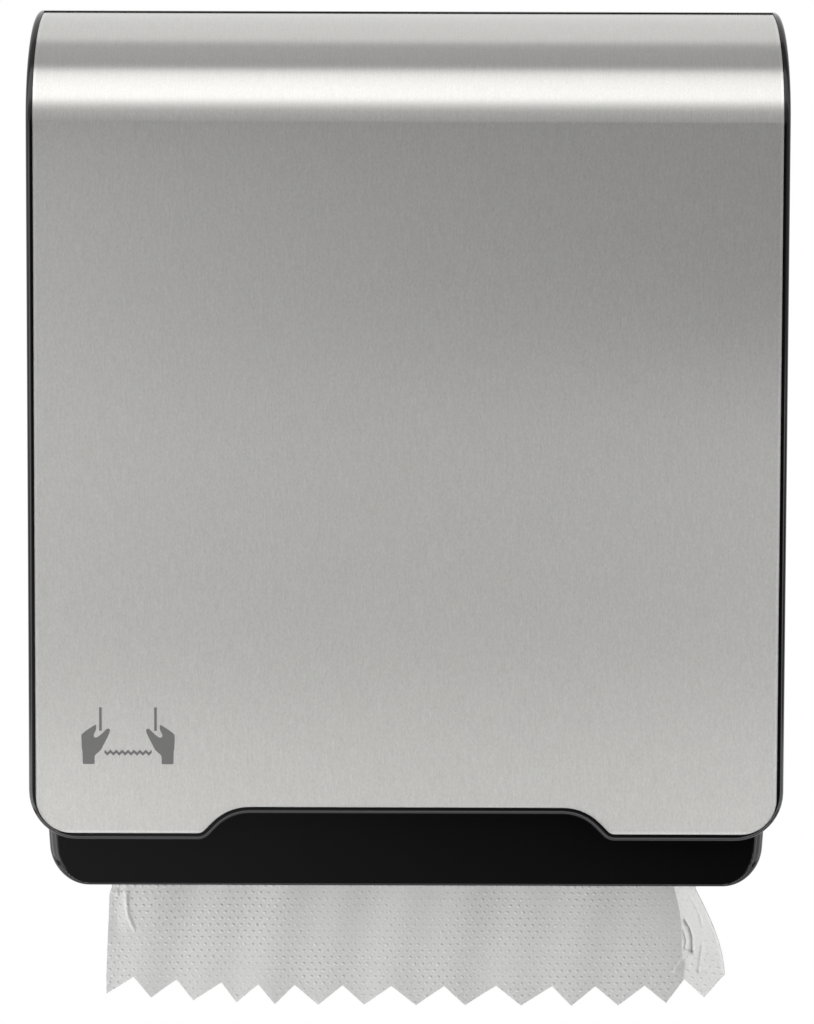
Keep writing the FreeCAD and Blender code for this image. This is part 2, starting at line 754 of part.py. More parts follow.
def knife_cam():
    """The right cam plate; its track pushes the knife out where the drum's slot points down and back."""
    plate = rod_x(38.5, CAM_INNER, FRAME_INNER, DRUM_Y, DRUM_Z)
    track_depth = 2.0
    floor = CAM_INNER + track_depth
    track = lobed(FOLLOWER_HEIGHT + 5.0, 17.0, 17.5, CAM_INNER - 1, floor)
    island = lobed(FOLLOWER_HEIGHT - 5.0, 7.0, 17.5, CAM_INNER - 2, floor + 1)
    bore = rod_x(BUSH_RADIUS, CAM_INNER - 1, FRAME_INNER + 1, DRUM_Y, DRUM_Z)
    return plate.cut(track.cut(island)).cut(bore)


# Drum: drawn about the X axis with its slot upwards, then turned and moved to its place

def place_drum(shape):
    shape.rotate(Vector(0, 0, 0), X_AXIS, SLOT_TURN)
    shape.translate(Vector(0, DRUM_Y, DRUM_Z))
    return shape


def drum_slot(half_width, low):
    """The slot's room through the drum's skin, from height low upwards."""
    return box((-FAR, FAR), (-half_width, half_width), (low, DRUM_RADIUS + 5))


def drum_screw_places():
    """Angles round the drum, and which end, of the screws that hold its two halves."""
    return [(angle, side) for angle in (45.0, 135.0, 225.0, 315.0) for side in (-1, 1)]


def radial_bar(radius, low, high, angle, x):
    """A round bar standing out from the drum's line at an angle from +Y."""
    way = Vector(0, math.cos(math.radians(angle)), math.sin(math.radians(angle)))
    return Part.makeCylinder(radius, high - low, Vector(x, 0, 0) + way * low, way)


def drum_half(side):
    tube = ring_x(DRUM_RADIUS, DRUM_RADIUS - DRUM_WALL, -DRUM_HALF, DRUM_HALF, 0, 0)
    keep = box((-FAR, FAR), (0.0, side * 60.0), (-60.0, 60.0))
    tools = [drum_slot(SLOT_WIDTH_HALF, 0.0)]
    for centre in BAND_CENTRES:
        low, high = centre - BAND_HALF, centre + BAND_HALF
        groove = ring_x(DRUM_RADIUS + 1, DRUM_RADIUS - 0.8, low, high, 0, 0)
        tools.append(groove.cut(drum_slot(6.0, 0.0)))
    for angle, end in drum_screw_places():
        x = end * DRUM_SCREW_X
        tools.append(radial_bar(1.5, 30.0, 37.0, angle, x))
        tools.append(radial_bar(2.6, DRUM_RADIUS - 1.0, DRUM_RADIUS + 1, angle, x))
    return place_drum(tube.common(keep).cut(tools))


def drum_end():
    """The right end disc, with a spigot inside the shells and a guide slot for the knife bar."""
    disc = rod_x(DRUM_RADIUS, DRUM_HALF, DRUM_END, 0, 0)
    spigot = ring_x(DRUM_RADIUS - DRUM_WALL, 30.0, 121.0, DRUM_HALF, 0, 0)
    hub = rod_x(10.0, 121.0, DRUM_HALF, 0, 0)
    tools = [rod_x(AXLE_RADIUS, 100.0, 160.0, 0, 0)]
    tools.append(box((DRUM_HALF - 1, DRUM_END + 1), (-2.1, 2.1), (10.2, DRUM_RADIUS + 2)))
    tools.append(box((120.0, DRUM_HALF), (-4.6, 4.6), (12.0, DRUM_RADIUS + 2)))
    right_screws = [angle for angle, end in drum_screw_places() if end > 0]
    tools += [radial_bar(1.5, 31.5, 36.0, angle, DRUM_SCREW_X) for angle in right_screws]
    return place_drum(fused([disc, spigot, hub]).cut(tools))


def drum_screws():
    screws = []
    for angle, end in drum_screw_places():
        x = end * DRUM_SCREW_X
        shank = radial_bar(1.5, 31.5, DRUM_RADIUS - 1.0, angle, x)
        head = radial_bar(2.6, DRUM_RADIUS - 1.0, DRUM_RADIUS - 0.1, angle, x)
        screws.append(place_drum(fused([shank, head])))
    return screws


def grip_bands():
    bands = []
    for centre in BAND_CENTRES:
        band = ring_x(BAND_RADIUS, DRUM_RADIUS - 0.8, centre - BAND_HALF, centre + BAND_HALF, 0, 0)
        bands.append(place_drum(band.cut(drum_slot(6.0, 0.0))))
    return bands


def drum_axle():
    return rod_x(AXLE_RADIUS, -144.6, 149.6, DRUM_Y, DRUM_Z)


def crank_disc():
    disc = rod_x(CRANK_RADIUS, -144.6, -142.2, DRUM_Y, DRUM_Z)
    pin_y, pin_z = crank_pin_place()
    pin = rod_x(2.4, -152.4, -144.6, pin_y, pin_z)
    return fused([disc, pin]).cut(rod_x(AXLE_RADIUS, -150.0, -140.0, DRUM_Y, DRUM_Z))


def crank_pin_place():
    """The crank pin at rest, on the line from the drum to the spring post."""
    toward = unit(Vector(0, POST_Y - DRUM_Y, POST_Z - DRUM_Z))
    return DRUM_Y + toward.y * CRANK_PIN_REACH, DRUM_Z + toward.z * CRANK_PIN_REACH


def crank_screw():
    head = rod_x(SCREW_HEAD, -146.4, -144.6, DRUM_Y, DRUM_Z)
    slot = box((-147.0, -145.6), (DRUM_Y - 5, DRUM_Y + 5), (DRUM_Z - 0.4, DRUM_Z + 0.4))
    return head.cut(slot)


def ratchet_wheel():
    """A saw-toothed wheel; one steep face stands at rest just before the pawl's tip."""
    step = 360.0 / RATCHET_TEETH
    corners = []
    for tooth in range(RATCHET_TEETH):
        start = math.radians(RATCHET_DROP + tooth * step)
        peak = start + math.radians(step - 0.8)
        corners.append((RATCHET_ROOT * math.cos(start), RATCHET_ROOT * math.sin(start)))
        corners.append((RATCHET_TIP * math.cos(peak), RATCHET_TIP * math.sin(peak)))
    wheel = prism_x(corners, 141.9, 144.3)
    wheel.translate(Vector(0, DRUM_Y, DRUM_Z))
    return wheel.cut(rod_x(AXLE_RADIUS, 140.0, 146.0, DRUM_Y, DRUM_Z))


def feed_knob():
    knob = rod_x(20.0, 144.8, 151.6, DRUM_Y, DRUM_Z)
    rim = [edge for edge in knob.Edges if edge.BoundBox.XMin > 151.5 and edge.Length > 100]
    knob = knob.makeFillet(1.5, rim)
    flutes = []
    for step in range(16):
        angle = 2 * math.pi * step / 16
        flute_y = DRUM_Y + 21.0 * math.cos(angle)
        flute_z = DRUM_Z + 21.0 * math.sin(angle)
        flutes.append(rod_x(2.2, 144.0, 153.0, flute_y, flute_z))
    dish = ring_x(16.0, 8.0, 150.6, 153.0, DRUM_Y, DRUM_Z)
    bore = rod_x(AXLE_RADIUS, 144.0, 149.6, DRUM_Y, DRUM_Z)
    return knob.cut([*flutes, dish, bore])


def pawl():
    """The pawl drawn seated behind a tooth, then lifted clear of the teeth about its pivot."""
    seat = math.radians(RATCHET_DROP + 1.2)
    low = RATCHET_ROOT + 0.35

    def place(across, out):
        """A point that lies across from the tip's radius and out from the drum's line."""
        y = out * math.cos(seat) - across * math.sin(seat)
        z = out * math.sin(seat) + across * math.cos(seat)
        return y, z

    pivot_y, pivot_z = PAWL_PIVOT
    corners = [
        place(0.0, low),
        (*place(0.0, low + 4.0), 1.5),
        (*place(25.0, low + 5.4), 1.5),
        (*place(25.0, low - 2.4), 1.0),
        place(13.0, low),
    ]
    arm = fused([prism_x(corners, 141.9, 144.0), rod_x(4.5, 141.9, 144.0, pivot_y, pivot_z)])
    arm = arm.cut(rod_x(2.5 + RUNNING, 140.0, 146.0, pivot_y, pivot_z))
    arm.rotate(Vector(0, pivot_y, pivot_z), X_AXIS, PAWL_LIFT)
    arm.translate(Vector(0, DRUM_Y, DRUM_Z))
    return arm


def pawl_stud():
    y, z = DRUM_Y + PAWL_PIVOT[0], DRUM_Z + PAWL_PIVOT[1]
    shank = rod_x(2.0, FRAME_INNER, FRAME_OUTER, y, z)
    shoulder = rod_x(2.5, FRAME_OUTER, 144.3, y, z)
    head = rod_x(4.0, 144.3, 145.2, y, z)
    return fused([shank, shoulder, head])


# Knife inside the drum

def knife_bar():
    bar = box((-129.3, 129.3), (-2.0, 2.0), (10.6, 24.5))
    solids = [bar]
    for side in (-1, 1):
        low, high = sorted((side * 129.3, side * DRUM_END))
        solids.append(box((low, high), (-2.0, 2.0), (12.5, 22.5)))
        low, high = sorted((side * DRUM_END, side * 135.0))
        solids.append(rod_x(2.0, low, high, 0, FOLLOWER_HEIGHT))
    holes = [rod_y(1.5, -3.0, 3.0, x, FOLLOWER_HEIGHT) for x in KNIFE_SCREW_X]
    return place_drum(fused(solids).cut(holes))


def knife_blade():
    """A thin plate whose outer edge is a row of pointed teeth."""
    half = 127.0
    root = KNIFE_TIP - TOOTH_DEPTH
    count = int(2 * half / TOOTH_PITCH)
    first = -count * TOOTH_PITCH / 2
    corners = [(-half, 12.0), (-half, root)]
    for tooth in range(count):
        start = first + tooth * TOOTH_PITCH
        corners.append((start, root))
        corners.append((start + TOOTH_PITCH / 2, KNIFE_TIP))
    corners += [(first + count * TOOTH_PITCH, root), (half, root), (half, 12.0)]
    blade = prism_y(corners, 2.0, 3.0)
    holes = [rod_y(1.5, 1.0, 4.0, x, FOLLOWER_HEIGHT) for x in KNIFE_SCREW_X]
    return place_drum(blade.cut(holes))


def blade_screws():
    screws = []
    for x in KNIFE_SCREW_X:
        shank = rod_y(1.5, -2.0, 3.0, x, FOLLOWER_HEIGHT)
        head = rod_y(3.0, 3.0, 4.2, x, FOLLOWER_HEIGHT)
        screws.append(place_drum(fused([shank, head])))
    return screws


def knife_followers():
    rollers = []
    for side in (-1, 1):
        low, high = sorted((side * 132.8, side * 135.0))
        rollers.append(place_drum(ring_x(FOLLOWER_RADIUS, 2.0, low, high, 0, FOLLOWER_HEIGHT)))
    return rollers


# Crank spring, its post and its cap on the left side

def cap_screw_places():
    return (-160.0, -101.0), (-60.0, -76.0)


def spring_post():
    shank = rod_x(2.0, -FRAME_OUTER, -FRAME_INNER, POST_Y, POST_Z)
    post = rod_x(2.5, -152.4, -FRAME_OUTER, POST_Y, POST_Z)
    head = rod_x(4.0, -153.3, -152.4, POST_Y, POST_Z)
    return fused([shank, post, head])


def return_spring():
    """An extension spring whose hooks go round the crank pin and the post."""
    pin_y, pin_z = crank_pin_place()
    pin = Vector(SPRING_X, pin_y, pin_z)
    post = Vector(SPRING_X, POST_Y, POST_Z)
    along = unit(post - pin)
    outward = X_AXIS
    upward = outward.cross(along)
    span = (post - pin).Length
    hook = 3.0
    turn_in = 1.5
    pitch = 2.0
    turns = 34
    start = (span - pitch * turns) / 2

    def place(s, w, x):
        return pin + along * s + upward * w + outward * x

    def hook_stations(centre_s, x, angles):
        stations = []
        for angle in angles:
            turn = math.radians(angle)
            here = place(centre_s + hook * math.cos(turn), hook * math.sin(turn), x)
            stations.append((here, along * math.sin(turn) - upward * math.cos(turn)))
        return stations

    coil_base = pin + along * start
    coil = coil_stations(coil_base, along, upward, hook, [pitch] * (4 * turns))
    coil_way = coil[0][1]
    side_sign = 1.0 if coil_way.dot(outward) > 0 else -1.0
    stations = hook_stations(0.0, -turn_in * side_sign, (330.0, 270.0, 180.0, 90.0))
    stations.append((place(start - turn_in, hook, -turn_in * side_sign), along))
    stations += coil
    end = start + pitch * turns
    stations.append((place(end + turn_in, hook, turn_in * side_sign), along))
    stations += hook_stations(span, turn_in * side_sign, (90.0, 0.0, -90.0, -150.0))
    return wire_tube(stations, 0.5)


def hull_x(first, first_radius, second, second_radius, low, high):
    """Two discs and the straight sides between them, carried along X."""
    line = Vector(second[0] - first[0], second[1] - first[1], 0)
    heading = math.atan2(line.y, line.x)
    lean = math.acos((first_radius - second_radius) / line.Length)
    corners = []
    for (y, z), radius, turn in (
        (first, first_radius, lean),
        (second, second_radius, lean),
        (second, second_radius, -lean),
        (first, first_radius, -lean),
    ):
        corners.append((y + radius * math.cos(heading + turn), z + radius * math.sin(heading + turn)))
    discs = [rod_x(first_radius, low, high, *first), rod_x(second_radius, low, high, *second)]
    return fused([prism_x(corners, low, high), *discs])


def spring_cap():
    drum = (DRUM_Y, DRUM_Z)
    post = (POST_Y, POST_Z)
    body = hull_x(drum, 19.9, post, 10.0, -155.0, -FRAME_OUTER)
    ears = []
    holes = []
    for y, z in cap_screw_places():
        near = (DRUM_Y, DRUM_Z) if y < -100 else (POST_Y, POST_Z)
        ears.append(hull_x((y, z), 5.0, near, 4.9, -FRAME_OUTER - 2.0, -FRAME_OUTER))
        holes.append(rod_x(1.5, -150.0, -130.0, y, z))
    cavity = hull_x(drum, 18.3, post, 8.4, -153.4, -FRAME_OUTER + 1)
    return fused([body, *ears]).cut([cavity, *holes])


def cap_screws():
    screws = []
    for y, z in cap_screw_places():
        shank = rod_x(1.5, -FRAME_OUTER - 2.0, -FRAME_INNER, y, z)
        head = rod_x(3.0, -FRAME_OUTER - 3.8, -FRAME_OUTER - 2.0, y, z)
        screws.append(fused([shank, head]))
    return screws


# Pressure roller behind the drum, in a sprung bracket

def pressure_place():
    angle = math.radians(PRESSURE_ANGLE)
    return DRUM_Y + PRESSURE_REACH * math.cos(angle), DRUM_Z + PRESSURE_REACH * math.sin(angle)


def pressure_bracket():
    roller_y, roller_z = pressure_place()
    corners = [
        (roller_y - 7.4, roller_z - 8.5, 6),
        (roller_y - 7.9, roller_z + 8.6, 5),
        (BRACKET_Y - 7.0, BRACKET_Z + 8.0, 7),
        (BRACKET_Y + 10.5, BRACKET_Z + 8.0, 6),
        (BRACKET_Y + 10.5, BRACKET_Z - 24.0, 6),
        (roller_y + 7.4, roller_z - 8.5, 6),
    ]
    solids = []
    for side in (-1, 1):
        low, high = sorted((side * 132.9, side * 134.7))
        solids.append(prism_x(corners, low, high))
    web_y = (BRACKET_Y + 8.9, BRACKET_Y + 10.5)
    web_z = (BRACKET_Z - 22.0, BRACKET_Z + 6.0)
    solids.append(box((-133.0, 133.0), web_y, web_z))
    tools = [rod_x(3.0 + RUNNING, -140.0, 140.0, BRACKET_Y, BRACKET_Z)]
    tools.append(rod_x(2.5 + RUNNING, -140.0, 140.0, roller_y, roller_z))
    return fused(solids).cut(tools)


def pressure_pivot_rod():
    return rod_x(3.0, -FRAME_OUTER, FRAME_OUTER, BRACKET_Y, BRACKET_Z)


def pressure_shaft():
    y, z = pressure_place()
    return fused([rod_x(4.0, -131.9, 131.9, y, z), rod_x(2.5, -134.5, 134.5, y, z)])


def pressure_sleeves():
    y, z = pressure_place()
    return [ring_x(PRESSURE_RADIUS, 4.0, x - 9.0, x + 9.0, y, z) for x in BAND_CENTRES]


def spring_bar():
    """An angle bar between the side frames that the pressure springs push against."""
    route = [(-62.0, -112.0, 0), (-62.0, -90.0, 2.5), (-50.0, -90.0, 0)]
    return prism_x(ribbon(route, 1.6), -FRAME_INNER, FRAME_INNER)


def pressure_springs():
    springs = []
    wire = 0.5
    low = BRACKET_Y + 10.5 + wire
    high = -62.8 - wire
    turns = 8
    closed = 1.6
    pitch = (high - low - 2 * closed) / (turns - 2)
    for x in (-60.0, 60.0):
        base = Vector(x, low, -104.0)
        pitches = [closed] * 4 + [pitch] * (4 * (turns - 2)) + [closed] * 4
        stations = coil_stations(base, Vector(0, 1, 0), Vector(0, 0, 1), 4.0, pitches)
        springs.append(wire_tube(stations, wire))
    return springs


# Roll, its hubs and its two arms

def arm_plate(low, high):
    root = ARM_PIVOT_Y - 3.8
    corners = [
        (root, ROLL_Z + KNUCKLE_LOW),
        (root, ROLL_Z + KNUCKLE_HIGH),
        (-42.0, ROLL_Z + 18.0, 30),
        (ROLL_Y - 18.0, ROLL_Z + 18.0, 17.9),
        (ROLL_Y - 18.0, ROLL_Z - 18.0, 17.9),
        (-52.0, ROLL_Z - 18.0, 30),
    ]
    return prism_x(corners, low, high)


def roll_arm_left():
    plate = arm_plate(-ARM_OUTER, -ARM_INNER)
    low, high = ROLL_Z - 20.0, ROLL_Z + 20.0
    brace_corners = [(FRAME_REAR, low), (FRAME_REAR, high), (-46.0, high - 3), (-46.0, low + 3)]
    brace = prism_x(brace_corners, -ARM_OUTER, -ARM_INNER)
    foot = box((-ARM_OUTER, -116.0), (-6.0, FRAME_REAR), (low, high))
    stub = rod_x(STUB_RADIUS, -ARM_INNER, -113.0, ROLL_Y, ROLL_Z)
    holes = [rod_y(SCREW_RADIUS, -8.0, 0.0, -124.0, ROLL_Z + z) for z in (-12.0, 12.0)]
    return fused([plate, brace, foot, stub]).cut(holes)


def roll_arm_bracket():
    """Base plate and two lugs that hold the right arm's pivot pin."""
    base = box((117.0, 141.0), (-6.0, FRAME_REAR), (ROLL_Z - 24.0, ROLL_Z + 24.0))
    lug_corners = [(126.0, -3.5), (141.0, -3.5), (141.0, -21.0, 7.0), (126.0, -21.0, 7.0)]
    lug_half = 1.9
    lugs = []
    for middle in (ROLL_Z - 19.1, ROLL_Z + 19.1):
        lugs.append(prism_z(lug_corners, middle - lug_half, middle + lug_half))
    leg_z = ROLL_Z + ARM_SPRING_LOW + 6.25 * ARM_SPRING_PITCH
    stop = box((119.0, 122.5), (ARM_PIVOT_Y + ARM_SPRING_RADIUS + 0.55, -6.0), (leg_z - 2.0, leg_z + 1.5))
    holes = [rod_y(SCREW_RADIUS, -8.0, 0.0, 122.0, ROLL_Z + z) for z in (-16.0, 5.0)]
    pin_hole = rod_z(3.0, ROLL_Z - 30, ROLL_Z + 30, ARM_PIVOT_X, ARM_PIVOT_Y)
    return fused([base, *lugs, stop]).cut([*holes, pin_hole])


def arm_pivot_pin():
    shank = rod_z(3.0, ROLL_Z - 22.0, ROLL_Z + 22.0, ARM_PIVOT_X, ARM_PIVOT_Y)
    head = rod_z(4.5, ROLL_Z + 21.0, ROLL_Z + 23.0, ARM_PIVOT_X, ARM_PIVOT_Y)
    return fused([shank, head])


def arm_spring():
    """A torsion spring on the pivot pin: its low leg lies on the arm's lug, its high leg on the bracket."""
    base = Vector(ARM_PIVOT_X, ARM_PIVOT_Y, ROLL_Z + ARM_SPRING_LOW)
    pitches = [ARM_SPRING_PITCH] * 25
    coil = coil_stations(base, Vector(0, 0, 1), X_AXIS, ARM_SPRING_RADIUS, pitches)
    first_place, first_way = coil[0]
    last_place, last_way = coil[-1]
    start_leg = first_place - unit(first_way) * 18.0
    end_leg = last_place + unit(last_way) * 13.0
    return wire_tube([(start_leg, first_way), *coil, (end_leg, last_way)], 0.5)


def roll_arm_right():
    plate = arm_plate(ARM_INNER, ARM_OUTER)
    knuckle = rod_z(6.0, ROLL_Z + KNUCKLE_LOW, ROLL_Z + KNUCKLE_HIGH, ARM_PIVOT_X, ARM_PIVOT_Y)
    stub = rod_x(STUB_RADIUS, 116.5, ARM_INNER, ROLL_Y, ROLL_Z)
    lug_out = ARM_PIVOT_X + ARM_SPRING_RADIUS - 0.55
    leg_z = ROLL_Z + ARM_SPRING_LOW
    lug = box((ARM_OUTER, lug_out), (ARM_PIVOT_Y - 19.0, ARM_PIVOT_Y - 13.0), (leg_z - 3.0, leg_z + 1.5))
    bore = rod_z(3.0 + RUNNING, ROLL_Z - 30, ROLL_Z + 30, ARM_PIVOT_X, ARM_PIVOT_Y)
    return fused([plate, knuckle, stub, lug]).cut(bore)


def hub(flange_at, base_radius, tip_radius, tip_at):
    """A right-hand core plug: a flange outside the roll and a tapered nose inside the core."""
    flange = rod_x(26.0, flange_at, PAPER_HALF + 3.0, ROLL_Y, ROLL_Z)
    nose_start = Vector(tip_at, ROLL_Y, ROLL_Z)
    nose = Part.makeCone(tip_radius, base_radius, flange_at - tip_at, nose_start, X_AXIS)
    bore = rod_x(STUB_RADIUS + RUNNING, tip_at + 2.2, PAPER_HALF + 5, ROLL_Y, ROLL_Z)
    return fused([flange, nose]).cut(bore)


def hub_right():
    return hub(PAPER_HALF + 0.3, 18.6, 16.5, PAPER_HALF - 14.0)


def hub_left():
    return mirrored(hub(PAPER_HALF, CORE_INNER - 0.03, 17.5, PAPER_HALF - 18.0))


def roll_core():
    return ring_x(CORE_OUTER, CORE_INNER, -PAPER_HALF, PAPER_HALF, ROLL_Y, ROLL_Z)


def paper_roll():
    return ring_x(ROLL_RADIUS, CORE_OUTER, -PAPER_HALF, PAPER_HALF, ROLL_Y, ROLL_Z)


# Towel: from the roll, round the drum and out through the slot

def crossing_line(first, first_radius, second, second_radius):
    """Where the line that passes between two circles touches each of them."""
    span = Vector(second[0] - first[0], second[1] - first[1], 0)
    heading = math.atan2(span.y, span.x)
    lean = math.acos((first_radius + second_radius) / span.Length)
    turn = heading - lean
    side = Vector(math.cos(turn), math.sin(turn), 0)
    start = Vector(*first, 0) + side * first_radius
    end = Vector(*second, 0) - side * second_radius
    return start, end


def line_crossing(point_a, way_a, point_b, way_b):
    """The point where two lines cross."""
    across = way_a.x * way_b.y - way_a.y * way_b.x
    offset = point_b - point_a
    reach = (offset.x * way_b.y - offset.y * way_b.x) / across
    return point_a + way_a * reach


def web_route():
    """The towel's middle line in (Y, Z) with its bend radii."""
    half = PAPER_THICKNESS / 2
    drum_line = DRUM_RADIUS + WEB_GAP + half
    roll_line = ROLL_RADIUS + WEB_GAP + half
    start, touch = crossing_line((ROLL_Y, ROLL_Z), roll_line, (DRUM_Y, DRUM_Z), drum_line)
    down = unit(touch - start)
    slope = math.radians(EXIT_SLOPE)
    leave_way = Vector(-math.cos(slope), -math.sin(slope), 0)
    leave = Vector(DRUM_Y, DRUM_Z, 0) + Vector(math.sin(slope), -math.cos(slope), 0) * drum_line
    corner = line_crossing(start, down, leave, leave_way)
    bend = line_crossing(leave, leave_way, Vector(TAIL_Y, 0, 0), Vector(0, 1, 0))
    return [
        (start.x, start.y, 0),
        (corner.x, corner.y, drum_line),
        (bend.x, bend.y, 6.0),
        (TAIL_Y, TAIL_TOP, 0),
    ]


def towel_web():
    return prism_x(ribbon(web_route(), PAPER_THICKNESS), -PAPER_HALF, PAPER_HALF)


def towel_tail():
    """The hanging end: gentle waves across, a folded right edge and a toothed lower edge."""
    wave = 1.3
    step = 32.0
    route = [(-130.5, TAIL_Y + 0.4, 0)]
    for index in range(7):
        x = -PAPER_HALF + step * (index + 0.6)
        route.append((x, TAIL_Y + wave * (-1) ** index, 110.0))
    route += [(118.0, TAIL_Y - 0.6, 8.0), (134.0, TAIL_Y + 1.6, 0)]
    band = prism_z(ribbon(route, PAPER_THICKNESS), -260.0, TAIL_TOP)
    tip = -244.7
    notch = tip + TOOTH_DEPTH
    corners = [(-127.5, TAIL_TOP), (-130.6, tip + 5)]
    first = -130.6
    for tooth in range(13):
        corners.append((first + (tooth + 0.5) * TOOTH_PITCH, notch))
        if tooth < 12:
            corners.append((first + (tooth + 1.0) * TOOTH_PITCH, tip))
    corners += [(134.0, tip + 6), (132.0, -218.0), (124.7, TAIL_TOP)]
    return band.common(prism_y(corners, TAIL_Y - 10, TAIL_Y + 10))


def paper_guide():
    """A curved sheet under and behind the drum that turns the towel towards the slot."""
    middle = GUIDE_RADIUS + GUIDE_THICKNESS / 2
    upper = math.radians(-15.0)
    lower = math.radians(-90.0 + EXIT_SLOPE)
    start = Vector(math.cos(upper), math.sin(upper), 0) * middle
    start_way = Vector(math.sin(upper), -math.cos(upper), 0)
    leave = Vector(math.cos(lower), math.sin(lower), 0) * middle
    leave_way = Vector(math.sin(lower), -math.cos(lower), 0)
    corner = line_crossing(start, start_way, leave, leave_way)
    end = leave + leave_way * GUIDE_RUN
    centre = Vector(DRUM_Y, DRUM_Z, 0)
    points = [(start, 0), (corner, middle), (end, 0)]
    route = [((centre + point).x, (centre + point).y, radius) for point, radius in points]
    return prism_x(ribbon(route, GUIDE_THICKNESS), -FRAME_INNER, FRAME_INNER)


NODES = {
    "rear_housing": rear_housing,
    "chin_shroud": chin_shroud,
    "front_cover": front_cover,
    "steel_panel": steel_panel,
    "hinge_pin_right": hinge_pin,
    "hinge_pin_left": lambda: mirrored(hinge_pin()),
    "lock_barrel": lock_barrel,
    "lock_nut": lock_nut,
    "lock_core": lock_core,
    "lock_cam": lock_cam,
    "lock_cam_screw": lock_cam_screw,
    "lock_striker": lock_striker,
    "side_frame_right": side_frame_right,
    "side_frame_left": side_frame_left,
    "tie_rods": tie_rods,
    "frame_screws": frame_screws,
    "drum_bush_right": drum_bush,
    "drum_bush_left": lambda: mirrored(drum_bush()),
    "knife_cam_right": knife_cam,
    "knife_cam_left": lambda: mirrored(knife_cam()),
    "paper_guide": paper_guide,
    "drum_shell_front": lambda: drum_half(-1),
    "drum_shell_rear": lambda: drum_half(1),
    "drum_end_right": drum_end,
    "drum_end_left": lambda: mirrored(drum_end()),
    "drum_screws": drum_screws,
    "grip_bands": grip_bands,
    "drum_axle": drum_axle,
    "crank_disc": crank_disc,
    "crank_screw": crank_screw,
    "ratchet_wheel": ratchet_wheel,
    "feed_knob": feed_knob,
    "pawl": pawl,
    "pawl_stud": pawl_stud,
    "knife_bar": knife_bar,
    "knife_blade": knife_blade,
    "blade_screws": blade_screws,
    "knife_followers": knife_followers,
    "spring_post": spring_post,
    "return_spring": return_spring,
    "spring_cap": spring_cap,
    "cap_screws": cap_screws,
    "pressure_bracket": pressure_bracket,
    "pressure_pivot_rod": pressure_pivot_rod,
    "pressure_shaft": pressure_shaft,
    "pressure_sleeves": pressure_sleeves,
    "spring_bar": spring_bar,
    "pressure_springs": pressure_springs,
    "roll_arm_left": roll_arm_left,
    "roll_arm_bracket": roll_arm_bracket,
    "arm_pivot_pin": arm_pivot_pin,
    "arm_spring": arm_spring,
    "roll_arm_right": roll_arm_right,
    "hub_right": hub_right,
    "hub_left": hub_left,
    "roll_core": roll_core,
    "paper_roll": paper_roll,
    "towel_web": towel_web,
    "towel_tail": towel_tail,
}

os.makedirs("parts", exist_ok=True)
for name, make in NODES.items():
    save(name, make())
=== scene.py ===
# %% [markdown]
# # A towel dispenser with a brushed steel front
#
# The object is a wall cabinet for a roll of paper towel. Its solids were drawn in CAD and arrive here
# as named meshes, already in place. This lesson gives them their finishes and adds what CAD is poor
# at: the embossed paper, the printed sign, and two springs.
#
# Everything is in metres. X runs to the right, Y away from the viewer into the wall, and Z up.

import json
import math

import bmesh
import bpy
import numpy as np
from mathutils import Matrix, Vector


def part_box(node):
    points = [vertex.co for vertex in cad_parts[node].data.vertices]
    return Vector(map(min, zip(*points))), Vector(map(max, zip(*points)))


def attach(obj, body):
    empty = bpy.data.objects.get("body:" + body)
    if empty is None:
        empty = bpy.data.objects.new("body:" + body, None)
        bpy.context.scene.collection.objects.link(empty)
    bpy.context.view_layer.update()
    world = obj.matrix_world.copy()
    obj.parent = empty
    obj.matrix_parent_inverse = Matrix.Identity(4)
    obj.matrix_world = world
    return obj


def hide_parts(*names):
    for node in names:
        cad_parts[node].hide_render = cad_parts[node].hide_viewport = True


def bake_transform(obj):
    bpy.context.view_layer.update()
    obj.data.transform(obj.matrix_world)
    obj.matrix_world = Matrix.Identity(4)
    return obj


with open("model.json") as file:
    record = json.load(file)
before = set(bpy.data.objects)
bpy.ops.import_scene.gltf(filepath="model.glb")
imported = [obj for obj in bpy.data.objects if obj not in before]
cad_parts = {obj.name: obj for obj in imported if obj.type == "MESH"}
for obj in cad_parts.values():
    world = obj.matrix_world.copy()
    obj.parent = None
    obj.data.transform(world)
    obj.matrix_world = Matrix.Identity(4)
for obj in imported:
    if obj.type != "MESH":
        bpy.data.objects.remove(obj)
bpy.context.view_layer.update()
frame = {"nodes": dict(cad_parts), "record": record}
nodes = frame["nodes"]

# %% [markdown]
# ## Small helpers
#
# A colour is picked as a screen value, such as #C8C8C8, but a shader wants the amount of light.
# The first helper turns one into the other with the sRGB curve. The second adds one shader node with
# its settings and links, so that a material reads as a short list. The next two empty a node tree and
# start a material with one Principled shader, the general one for plastic, metal and paper. The rest
# are steps that nearly every material takes: a soft step, noise of a given size, and a colour or a
# roughness that varies between two values.

# %% Colour from a hex code
def colour(code):
    """Linear RGBA from an sRGB hex code: below 0.04045 a straight line, above it a power of 2.4."""
    screen = np.array([int(code[start : start + 2], 16) / 255 for start in (1, 3, 5)])
    linear = np.where(screen <= 0.04045, screen / 12.92, ((screen + 0.055) / 1.055) ** 2.4)
    return (*linear.tolist(), 1.0)


print("mid grey is", round(colour("#808080")[0], 3), "of white's light")


# %% One node with its settings and links
def add(tree, kind, inputs=None, **settings):
    """Adds a shader node. inputs maps a socket's name or number to a value or to another socket."""
    node = tree.nodes.new(kind)
    for name, value in settings.items():
        setattr(node, name, value)
    for key, value in (inputs or {}).items():
        if isinstance(value, bpy.types.NodeSocket):
            tree.links.new(value, node.inputs[key])
        else:
            node.inputs[key].default_value = value
    return node


# %% A material with one Principled shader
def empty_tree(owner):
    """The node tree of a material or a world, with nothing in it."""
    owner.use_nodes = True
    owner.node_tree.nodes.clear()
    return owner.node_tree


